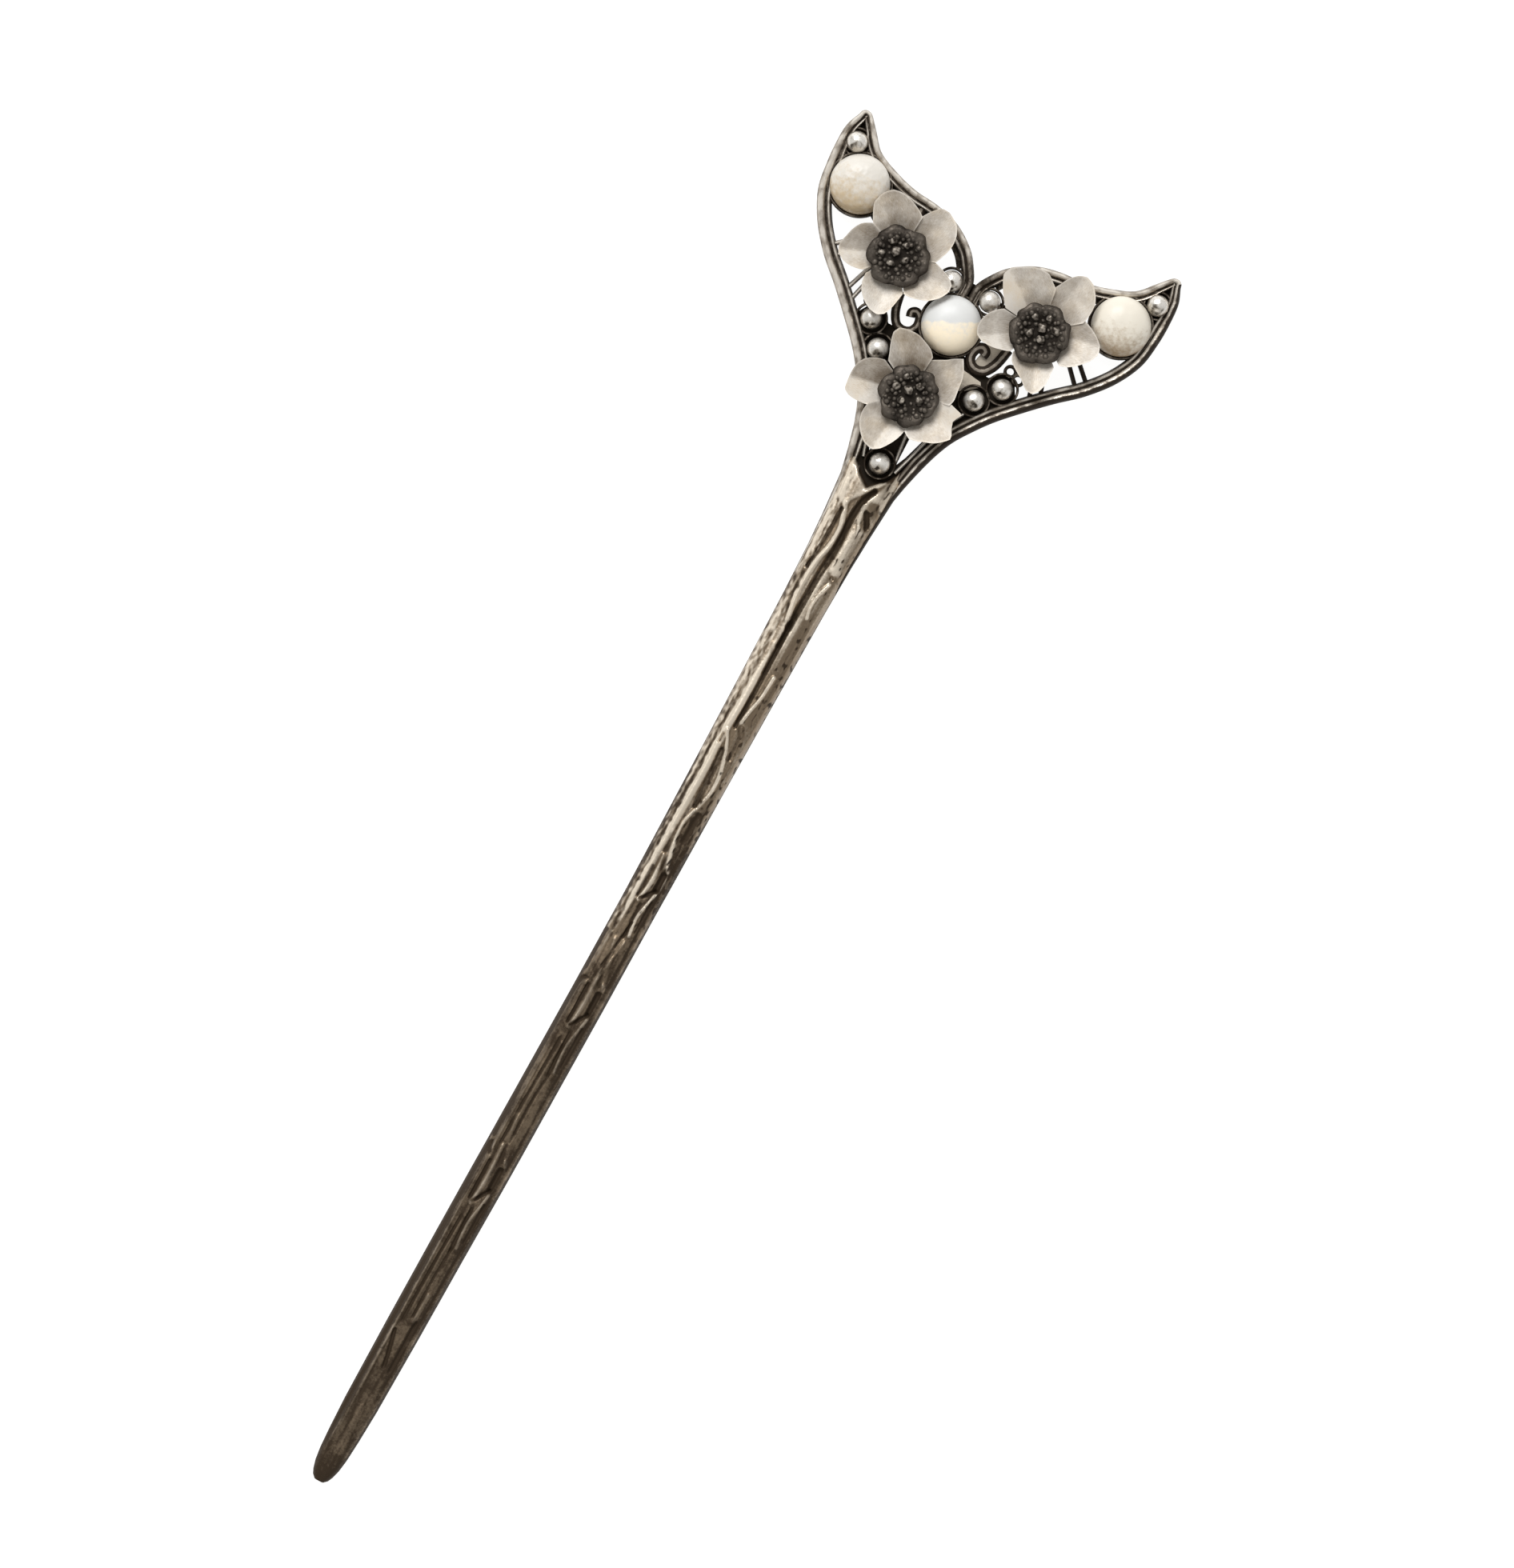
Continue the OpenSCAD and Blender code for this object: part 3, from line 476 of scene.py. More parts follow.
# The tops and rims are rubbed bright: rubbed wear, with the left rim brighter than the right as painted light
# on the side towards the lamp.
rubbed_and_lit = (look_up(tops, x, along) + 0.3 * rim_line * np.where(face < 0, 1, 0.3)[None, :]
          + 0.4 * np.maximum(-streaks, 0))
raised = np.zeros(rings.shape[:2])
raised[:, on_face] = (rubbed_and_lit * (0.33 + 0.42 * upper) * (1 - dull_line * shaded_brown_side)
                      + 0.75 * look_up(rubbed_facets, x, along) + lit_and_rubbed_side * (pale_left - 0.5 * mottled)
                      + (1 - lit_and_rubbed_side) * pale_rest)
cast_silver = silver_finish("Antiqued cast silver", silver=(0.25, 0.19, 0.13), bright=(0.76, 0.67, 0.55),
                            black=(0.046, 0.03, 0.017), blackening=0.13, blotch=2.6, polish=0.4)
shaft = make_piece("shaft", [(shaft_points, shaft_faces, hollow.ravel(), raised.ravel())], cast_silver)
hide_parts("cast_pin")

# The rails. Two bands of the same casting draw the outline of the fishtail, from the neck up the outside of
# each half, round its tip and down into the notch. Each band has a broad round rib outside and a thin
# one inside it, and a groove that holds the black runs between them.
rail_top = 2.0
# Half of the outline. Columns: across, up from the neck. First the top, then the tip, then the outside.
top_edge = [[0.05, 23.9], [0.1, 26.4], [1.05, 28.3], [2.6, 30.15], [5.2, 31.8], [8, 32.55], [11, 32.85],
    [13.6, 33.5], [16.6, 34.75], [18.3, 36.55], [19.6, 38]]
tip_bend = [[20.1, 38.3], [20.6, 38.3], [21.0, 37.98]]
outer_edge = [[21.15, 37.5], [21.8, 35.8], [22, 33.5], [21.95, 30.8], [21.45, 27.6], [19.8, 24.35],
    [17.35, 21.35], [14.65, 18.9], [12.05, 16.35], [9.5, 13.7], [7.7, 11.4], [6.2, 9.15], [5.1, 6.6],
    [4.35, 4], [3.75, 1.3], [3.4, -0.7], [3.14, -4], [2.9, -8], [2.73, -13]]
# Columns: from the outer side, height, how much black it holds, how bright it is polished
rail_profile = np.array([[0.05, 0, 0.5, 0], [0.02, 0.5, 0.4, 0], [0.01, 1.05, 0.2, 0.1], [0.08, 1.46, 0, 0.3],
    [0.2, 1.76, 0, 0.7], [0.38, 1.93, 0, 0.9], [0.56, 1.91, 0, 0.8], [0.7, 1.78, 0.1, 0.4],
    [0.79, 1.62, 0.5, 0], [0.85, 1.52, 0.75, 0], [0.93, 1.52, 0.75, 0], [0.99, 1.62, 0.4, 0.1],
    [1.08, 1.76, 0, 0.6], [1.19, 1.8, 0, 0.75], [1.28, 1.68, 0.2, 0.3], [1.36, 1.4, 0.8, 0],
    [1.44, 1.0, 1, 0], [1.48, 0.5, 1, 0], [1.45, 0, 1, 0]])
# How far the outside of each band lies to the right of its outline. Columns: up from the neck, shift
settling = {-1: [[4, 0], [11, 0.2], [17, 0.3], [26, 0.3], [31, 0.2], [35, 0]],
            1: [[2, 0], [6, 0.12], [24, 0.12], [29, 0]]}
# Columns: up from the neck, share of the profile's width or height
band_widths = [[-13, 0.26], [-6, 0.44], [1, 0.95], [5, 1.2], [32, 1.2], [36.5, 0.92], [38.3, 0.72]]
band_heights = [[-13, 0.4], [-11.5, 0.7], [-3, 0.88], [0, 1]]


def placed(line, side=1):
    """Points of the tail's right half on the right (1) or left (-1), in the part's own frame."""
    line = np.asarray(line, float)
    return np.stack([side * line[:, 0] + read_off(shaft_bow, neck_from_point + line[:, 1]),
                     line[:, 1] + neck_from_point - middle], 1)


def spot_on(spot, side=1):
    """Where one spot lies in the part's own frame."""
    return placed([spot], side)[0]


def band(line, side, profile, widths=1.0, heights=1.0):
    """A strand along a line in the part's frame. The profile's first column goes to the right of the
    line's heading on side 1 and to the left on side -1."""
    ahead = np.vstack([line[1:], line[-1:]]) - np.vstack([line[:1], line[:-1]])
    ahead /= np.linalg.norm(ahead, axis=1)[:, None]
    inwards = side * np.stack([ahead[:, 1], -ahead[:, 0]], 1)
    widths = np.broadcast_to(widths, len(line))
    heights = np.broadcast_to(heights, len(line))
    flat = line[:, None, :] + inwards[:, None, :] * (profile[None, :, :1] * widths[:, None, None])
    rings = np.dstack([flat, profile[None, :, 1] * heights[:, None]])
    if side < 0:
        rings = rings[:, ::-1]
    points, faces = closed_skin(rings)
    marks = profile[::-1] if side < 0 else profile
    return points, faces, np.tile(marks[:, 2], len(line)), np.tile(marks[:, 3], len(line))


rail_finish = silver_finish("Antiqued silver rails", silver=(0.36, 0.31, 0.255), bright=(0.7, 0.65, 0.58),
                            black=(0.03, 0.021, 0.014), blackening=0.16, blotch=1.1, polish=0.4)
rail_steps = 7
tip_starts = rail_steps * (len(top_edge) - 1)
outside_starts = tip_starts + rail_steps * len(tip_bend)
for side, name in ((-1, "rail_left"), (1, "rail_right")):
    outline = placed(rounded_line(top_edge + tip_bend + outer_edge, rail_steps), side)
    up = outline[:, 1] + middle - neck_from_point
    outline[outside_starts:, 0] += read_off(settling[side], up)[outside_starts:]
    widths = read_off(band_widths, up)
    widths[:tip_starts - rail_steps] = 1
    points, faces, hollow, raised = band(outline, side, rail_profile, widths, read_off(band_heights, up))
    lumps = speckle(points, 2.2) * 0.05 + speckle(points, 0.6, 3.0) * 0.02
    points[:, 2] += np.where(points[:, 2] > 1, lumps, 0)
    # On the right the outer flank is painted in shade, with one painted highlight line inside it, and the
    # lower part of that band is painted darker still; the left flank gets only a little painted shade.
    # Both bands are darker where they run into the notch and into the neck, the right one most at the neck.
    place = np.tile((rail_profile if side > 0 else rail_profile[::-1])[:, 0], len(outline))
    height_up = np.repeat(up, len(rail_profile))
    on_top_edge = np.repeat(np.arange(len(outline)) < tip_starts, len(rail_profile))
    shaded_side = ((side > 0) & ~on_top_edge) * 1.0
    outside = ramp(place, 0.4 + 0.2 * shaded_side, -0.16) * (height_up < 38)
    flank_shade = 0.1 + shaded_side * np.interp(height_up, [19, 24], [0.9, 0.7])
    near_neck = ramp(height_up, 4, -5) * (1 if side > 0 else 0.3)
    in_notch = on_top_edge * ramp(height_up, 31, -3)
    shaded_lower_right = shaded_side * ramp(height_up, 19, -4)
    hollow = np.clip(hollow + outside * flank_shade + 0.35 * near_neck * outside + 0.45 * in_notch, 0, 1.3)
    hollow += 0.12 * shaded_lower_right
    painted_highlight_line = shaded_side * np.clip(1 - np.abs(place - 0.68) / 0.11, 0, 1)
    raised = (raised + painted_highlight_line) * (1 - 0.6 * near_neck) * (1 - outside * flank_shade) * (1 - 0.6 * in_notch)
    raised *= 0.75 - 0.2 * shaded_lower_right + 0.9 * speckle(points, 0.7, 4.0)
    # On the left the band's black is cut to three quarters, painted light on the side towards the lamp, and
    # the band is scratched across its length in short dark ticks.
    if side < 0:
        hollow = 0.75 * hollow + 0.35 * np.maximum(speckle(points, 0.35, 6.0), 0)
    points[:, 2] = np.minimum(points[:, 2], rail_top)
    rail = make_piece(name, [(points, faces, hollow, raised)], rail_finish)
    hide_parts("cast_pin")

# The fine lines of the tail: the curl beside the middle stone, the thin line inside each rail near the
# neck, and the bars that hold the flower seats. They are part of the casting and stand clear of its plates.
scroll = [[4.75, 19.75], [4.85, 20.3], [4.35, 20.6], [3.75, 20.15], [3.55, 19.2], [3.95, 18.35], [4.8, 18],
    [5.7, 18.25], [6.35, 19.1], [6.75, 20.2], [7.05, 21.8]]
inner_line = [[5.95, 12.8], [4.75, 10.6], [3.75, 8.3], [2.85, 5.4], [2.05, 3]]
# Columns: across and up of one end, of the other end, width, height
struts = [[9.25, 25.4, 14.4, 28.6, 1.4, 1.4], [9.25, 25.4, 9.6, 32.2, 1.2, 1.4],
    [9.25, 25.4, 3.4, 25.6, 1.2, 1.4], [11.4, 26.4, 15.8, 21.8, 0.55, 1.5],
    [11.4, 27.7, 16.8, 22.7, 0.55, 1.5], [10.3, 24, 11.9, 17.6, 0.55, 1.5],
    [11, 24.2, 12.9, 18.7, 0.55, 1.5], [0.95, 9.6, 1.55, 3.9, 0.5, 1.4], [0.75, 24.2, 0.75, 26.2, 1.3, 1.6]]
# Share of the width from the middle, share of the height, black, polish
round_wire = np.array([[-0.46, 0, 0.9, 0], [-0.5, 0.4, 0.7, 0], [-0.46, 0.68, 0.3, 0], [-0.32, 0.9, 0, 0.4],
    [-0.1, 1.0, 0, 1], [0.1, 1.0, 0, 1], [0.32, 0.9, 0, 0.4], [0.46, 0.68, 0.3, 0], [0.5, 0.4, 0.7, 0],
    [0.46, 0, 0.9, 0]])
# The same columns for a wire whose sides are left black, and for a thin black one
outlined_wire = np.array([[-0.47, 0, 1, 0], [-0.5, 0.4, 1, 0], [-0.48, 0.72, 1, 0], [-0.4, 0.9, 1, 0],
    [-0.22, 0.98, 0.9, 0], [-0.1, 1.0, 0.25, 0.25], [0.1, 1.0, 0.25, 0.25], [0.22, 0.98, 0.9, 0],
    [0.4, 0.9, 1, 0], [0.48, 0.72, 1, 0], [0.5, 0.4, 1, 0], [0.47, 0, 1, 0]])
black_wire = round_wire * [1, 1, 0, 0] + [0, 0, 0.85, 0.1]
fine_parts = []
for side in (-1, 1):
    curl_width = 1.05 if side < 0 else 1.2
    for line, wire, width, height in ((scroll, outlined_wire, curl_width, 1.7),
                                      (inner_line, round_wire, 0.5, 1.6)):
        fine_parts.append(band(placed(rounded_line(line, 6), side), side, wire * [width, height, 1, 1]))
    for ax, ay, bx, by, width, height in struts:
        ends = np.array([[ax, ay], [bx, by]])
        stretch = ends[0] + np.linspace(0, 1, 9)[:, None] * (ends[1] - ends[0])
        bar = black_wire if side > 0 and width >= 0.55 else round_wire
        bar = outlined_wire if width > 1 else bar
        fine_parts.append(band(placed(stretch, side), side, bar * [width, height, 1, 1]))
fine_lines = make_piece("fine_lines", fine_parts, rail_finish)
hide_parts("cast_pin")

# The plates. Thin flats of the casting close the small cells: round the lower flower, under the notch, in
# the tips, under the top bands and inside the right curl. They lie deep and are left nearly black.
plate_height = 0.86
low_plate = [[3, -1], [3.9, 3], [4.6, 6.3], [5.6, 9], [6.9, 11.6], [8.6, 14], [9.9, 15.7], [10.4, 17.3],
    [9.2, 19.3], [7.6, 19], [6.6, 17.9], [4.4, 17.9], [3.2, 18.7]]
notch_plate = [[1.6, 23.4], [1.6, 26.6]]
tip_plate = [[17.2, 34.2], [18.8, 36.4], [20.3, 37.6], [21.2, 36.4], [21.4, 33.6], [20.9, 31.2], [19, 33.6]]
slot_outline = [[1.75, 3.9], [2.35, 5.2], [3.3, 8.1], [1.75, 8.4]]
scroll_plate = [[4.2, 18.6], [5.6, 18.5], [6.5, 20], [6.8, 22], [4, 22.2], [4.6, 20.6]]
# A pale flat beside the right curl
pale_flat = [[3.6, 17.3], [6.0, 17.0], [6.3, 16.5], [4.8, 15.2], [3.6, 14.6]]
# The ledge under each top band. Columns: from the band's outer side, height, black, polish
ledge = np.array([[0.6, 0, 1, 0], [0.6, 0.84, 0.8, 0], [1.95, 0.84, 0.4, 0.1], [1.98, 0.8, 0.5, 0],
    [1.98, 0, 1, 0]])


def flat_plate(loops, high, hollow=0.75, raised=0.0):
    """A flat with holes, from loops in the part's frame with the outside first."""
    triangles = tessellate_polygon([[Vector((px, py, 0)) for px, py in loop] for loop in loops])
    flat = np.vstack(loops)
    count = len(flat)
    points = np.vstack([np.column_stack([flat, np.full(count, high)]),
                        np.column_stack([flat, np.zeros(count)])])
    faces = []
    for a, b, c in triangles:
        u, v = flat[b] - flat[a], flat[c] - flat[a]
        if u[0] * v[1] - u[1] * v[0] < 0:
            b, c = c, b
        faces += [(a, b, c), (count + a, count + c, count + b)]
    start = 0
    for number, loop in enumerate(loops):
        after = np.roll(loop, -1, axis=0)
        area = (loop[:, 0] * after[:, 1] - after[:, 0] * loop[:, 1]).sum()
        forward = (area > 0) == (number == 0)
        for i in range(len(loop)):
            a, b = start + i, start + (i + 1) % len(loop)
            if not forward:
                a, b = b, a
            faces.append((a, count + a, count + b, b))
        start += len(loop)
    return points, faces, hollow, raised


def both_halves(half):
    return np.vstack([placed(half), placed(half, -1)[::-1]])


# The plates overlap, so each lies a little over or under its neighbours.
slots = [placed(slot_outline, side) for side in (-1, 1)]
plates = [flat_plate([both_halves(low_plate)] + slots, plate_height),
          flat_plate([both_halves(notch_plate)], plate_height - 0.02),
          flat_plate([placed(scroll_plate)], plate_height - 0.03, 0.0, 0.6),
          flat_plate([placed(pale_flat)], plate_height + 0.03, 0.0, 0.6)]
for side in (-1, 1):
    plates.append(flat_plate([placed(tip_plate, side)], plate_height - 0.04))
    plates.append(band(placed(rounded_line(top_edge, 6)[12:-4], side), side, ledge))
black_plate = silver_finish("Blackened plate", silver=(0.3, 0.25, 0.19), bright=(0.66, 0.59, 0.49),
                            black=(0.022, 0.016, 0.01), blackening=0.24, blotch=1.6, polish=0.5)
plate_piece = make_piece("plates", plates, black_plate)
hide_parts("cast_pin")

# The beads. Nine round beads are cast in the metal, each in a small cup of its own with a thin rim. Their
# tops are polished, and the black stays in the ring round each one.
bead_size = 2.55
bead_low = 0.5
# Columns: across, up from the neck, outer diameter of the cup
beads = [[19.75, 34.5, 3.5], [2.5, 25.6, 3.4], [8.6, 17.4, 3.9], [6.3, 14.7, 3.85]]
lowest_bead = [0, 3.15, 3.8]
# The side of a bead that carries a painted dark reflection: upwards and towards the point
dark_reflection_side = [0.12, -0.5, 0.857]


def turned(profile, centre, around):
    """A turned shape from rows of radius, height, black, polish, from its bottom to its top. A row with
    radius 0 is a point on the axis."""
    angles = np.arange(around) * 2 * math.pi / around
    points, rings = [], []
    for radius, height, black, polish in profile:
        first = len(points)
        rings.append([first + j if radius > 0 else first for j in range(around)])
        points += [(centre[0] + radius * math.cos(a), centre[1] + radius * math.sin(a), height, black, polish)
                   for a in (angles if radius > 0 else angles[:1])]
    steps = [(j, (j + 1) % around) for j in range(around)]
    faces = []
    for low, high in zip(rings[:-1], rings[1:]):
        for j, k in steps:
            corners = tuple(dict.fromkeys((low[j], low[k], high[k], high[j])))
            if len(corners) > 2:
                faces.append(corners)
    if profile[0][0] > 0 and profile[-1][0] > 0:
        faces += [(rings[-1][j], rings[-1][k], rings[0][k], rings[0][j]) for j, k in steps]
    points = np.array(points)
    return points[:, :3], faces, points[:, 3], points[:, 4]


def ball(centre, low, size, polish=1.0, rows=21):
    """A ball that stands on a height. Its lower part holds the black, and its top is polished."""
    r = size / 2
    profile = [[r * math.cos(a), low + r * (1 + math.sin(a)), 0.9 * (a < -0.35) + 0.35 * (-0.35 <= a < 0.1),
                polish * max(0, math.sin(a))] for a in np.linspace(-math.pi / 2, math.pi / 2, rows)]
    profile[0][0] = profile[-1][0] = 0
    return turned(profile, centre, 2 * rows - 6)


def cup(centre, outer, wall, low, high, inside):
    r = outer / 2
    points, faces, hollow, raised = turned(
        [[r - wall, inside, 1, 0], [r - wall * 0.5, low, 1, 0], [r - 0.03, low, 1, 0], [r, low + 0.3, 0.9, 0],
         [r, high - 0.12, 0.8, 0], [r - wall * 0.25, high, 0.55, 0.15], [r - wall * 0.65, high, 0.6, 0.1],
         [r - wall, high - 0.14, 0.95, 0]], centre, 44)
    return points, faces, hollow + 0.5 * speckle(points, 0.6, outer), raised


cup_parts, bead_parts = [], []
for side, (across, up, outer) in [(side, b) for side in (-1, 1) for b in beads] + [(1, lowest_bead)]:
    centre = spot_on([across, up], side)
    cup_parts.append(cup(centre, outer, wall=0.3, low=0.05, high=1.6, inside=0.8))
    points, faces, black, bright = ball(centre, bead_low, bead_size)
    # Each bead carries a ragged painted dark reflection on its top, towards the point, where its polish is
    # taken away, and the rest is lightly mottled.
    outwards = (points - [*centre, bead_low + bead_size / 2]) / (bead_size / 2)
    ragged = speckle(points, 0.45, up + across)
    dark_reflection = ramp(outwards @ dark_reflection_side + 0.25 * ragged, 0.8, 0.22)
    black = np.clip(black + 0.7 * dark_reflection + 0.7 * speckle(points, 0.5, up), 0, 1)
    bright = bright * (1 - dark_reflection) * (0.85 + 0.5 * ragged)
    points[:, 2] += speckle(points, 0.7, across) * 0.03
    points[:, :2] += (points[:, :2] - centre) * speckle(points, 1.1, up)[:, None] * 0.03
    bead_parts.append((points, faces, black, bright))
bead_finish = silver_finish("Polished silver beads", silver=(0.5, 0.45, 0.38), bright=(0.85, 0.82, 0.77),
                            black=(0.035, 0.026, 0.018), blackening=-0.1, blotch=0.8, polish=0.3, bump=0.45)
for piece in (make_piece("bead_cups", cup_parts, rail_finish),
              make_piece("cast_beads", bead_parts, bead_finish)):
    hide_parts("cast_pin")

# The cups for the stones, the small paired rings and the round seats of the flowers. All are cast with the
# rest. A stone's cup is a shallow tray with a thin wall that stands up round the stone's girdle.
stone_size = 7.0
stone_gap = 0.05
tray_wall = 0.3
tray_floor = 1.0
stone_spots = {"stone_left": [-17.15, 30.35], "stone_right": [17.15, 30.35], "stone_centre": [-0.1, 21.1]}
flower_spots = {"left": [-9.25, 25.4], "right": [9.25, 25.4], "low": [-0.6, 11.9]}
seat_height = 2.3
# Across and up from the neck, the middles of the two rings beside each curl
ring_pair = [[8.45, 19.7], [9.7, 19.25]]
setting_parts = []
r = stone_size / 2 + stone_gap + tray_wall
tray = [[0, 0.02, 1, 0], [r - 0.1, 0.02, 0.9, 0], [r, 0.3, 0.8, 0], [r, 1.5, 0.7, 0],
        [r - 0.05, 1.7, 0.5, 0.1], [r - 0.13, 1.75, 0.45, 0.2], [r - 0.24, 1.72, 0.6, 0.1],
        [r - tray_wall, 1.6, 0.8, 0], [r - tray_wall, tray_floor, 1, 0], [0, tray_floor, 1, 0]]
seat = [[0, 0.02, 1, 0], [2.5, 0.02, 0.9, 0], [2.6, 0.3, 0.8, 0], [2.57, 2.1, 0.6, 0], [2.45, 2.28, 0.3, 0.1],
        [2.3, seat_height, 0.4, 0], [0, seat_height, 0.6, 0]]
setting_parts += [turned(tray, spot_on(spot), 72) for spot in stone_spots.values()]
setting_parts += [turned(seat, spot_on(spot), 48) for spot in flower_spots.values()]
setting_parts += [cup(spot_on(spot, side), 1.6, wall=0.38, low=0.02, high=1.5, inside=0.02)
                  for side in (-1, 1) for spot in ring_pair]
settings = make_piece("settings", setting_parts, rail_finish)
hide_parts("cast_pin")

# The stones. Three round cream stones, domed on top and flat below, are glued in their cups. The left one is
# pitted and mottled, the middle one is milky with a warm band across it, and the right one is smooth.
stone_height = 3.3
stone_low = tray_floor + stone_gap
girdle = 0.7
mottle, given, result = new_group(
    "Mottled stone",
    [("Milk", (0.9, 0.87, 0.8)), ("Sand", (0.62, 0.5, 0.33)), ("Sand share", 0.3), ("Band", 0.0),
     ("Pits", 0.3), ("Middle x", 0.0), ("Middle y", 0.0), ("Lean", 0.0)],
    ["Color", "Roughness", "Height"])
place = add_node(mottle, "TexCoord").outputs["Object"]
object_place = add_node(mottle, "SeparateXYZ", {0: place})
from_x = figure(mottle, "SUBTRACT", object_place.outputs[0], given["Middle x"])
from_y = figure(mottle, "SUBTRACT", object_place.outputs[1], given["Middle y"])
# The stone is sandier on the side that faces the point, partly its own colour and partly painted shade on the
# side away from the lamp, leaning to the right by the stone's own lean.
sand_and_shade_down = added(mottle, from_y, -250.0, figure(mottle, "MULTIPLY", from_x, given["Lean"]))
clouds = cloudy(mottle, place, 420.0, 5.0, 0.6)
flecks = cloudy(mottle, place, 1700.0, 4.0, 0.65)
share = figure(mottle, "SUBTRACT", added(mottle, clouds, 0.9, -0.45), 0.65)
share = figure(mottle, "ADD", added(mottle, flecks, 1.3, share), given["Sand share"])
share = added(mottle, sand_and_shade_down, 0.75, share)
step = spread_out(mottle, added(mottle, clouds, 0.35, sand_and_shade_down), 0.05, 0.14)
share = spread_out(mottle, added(mottle, step, given["Band"], share), 0.0, 1.0, "SMOOTHSTEP")
pit_depth = figure(mottle, "MULTIPLY", cells(mottle, place, 1300.0), given["Pits"])
put_out(mottle, result,
        Color=blended(mottle, share, given["Milk"], given["Sand"]),
        Roughness=added(mottle, flecks, 0.25, 0.3),
        Height=added(mottle, flecks, 0.3, pit_depth))
# Columns: milk colour, sand colour, share of sand, strength of the band, pits, how far the shading leans
stone_looks = {"stone_left": [(0.72, 0.685, 0.625), (0.56, 0.435, 0.27), 0.34, 0.0, 1.6, 25.0],
               "stone_right": [(0.79, 0.74, 0.64), (0.38, 0.275, 0.165), 0.12, 0.0, 0.3, 90.0],
               "stone_centre": [(0.71, 0.715, 0.705), (0.98, 0.86, 0.66), -0.12, 0.7, 0.2, 125.0]}
r = stone_size / 2
dome = [[r * math.cos(a) if a < 1.57 else 0,
         stone_low + girdle + (stone_height - girdle) * math.sqrt(1 - math.cos(a) ** 2.6), 0, 0]
        for a in np.radians(np.arange(0, 91, 3.75))]
foot = [[0, stone_low, 0, 0], [r - 0.15, stone_low, 0, 0], [r - 0.03, stone_low + 0.05, 0, 0],
        [r, stone_low + 0.17, 0, 0]]
for number, (name, spot) in enumerate(stone_spots.items()):
    centre = spot_on(spot)
    points, faces, hollow, raised = turned(foot + dome, centre, 96)
    swell = speckle(points, 2.6, number * 9.0) * 0.06 + speckle(points, 0.9, number * 5.0) * 0.025
    high = points[:, 2]
    points[:, 2] = np.where(high > 1.9, np.minimum(high + swell, stone_low + stone_height), high)
    milk, sand, sand_share, band_strength, pits, lean = stone_looks[name]
    finish = finish_from(
        mottle, name + "_cream", {},
        {"Milk": milk, "Sand": sand, "Sand share": sand_share, "Band": band_strength, "Pits": pits,
         "Middle x": centre[0] * 0.001, "Middle y": centre[1] * 0.001, "Lean": lean}, 0.35, 0.00012)[0]
    stone = make_piece(name + "_polished", [(points, faces, hollow, raised)], finish)
    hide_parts(name)

# The flowers. Each is cut and pressed from thin brass plated with silver: five petals on a small round hub,
# each creased along its middle, lifted at its point and brushed along its length. It is glued on its seat.
petal_thick = 0.32
petal_base = 1.7
petal_length = 5.7
petal_rise = 1.5
petal_fold = 0.17
petal_ceiling = 4.85
glue_gap = 0.05
hub_edge = 0.1
flower_base = seat_height + glue_gap + hub_edge
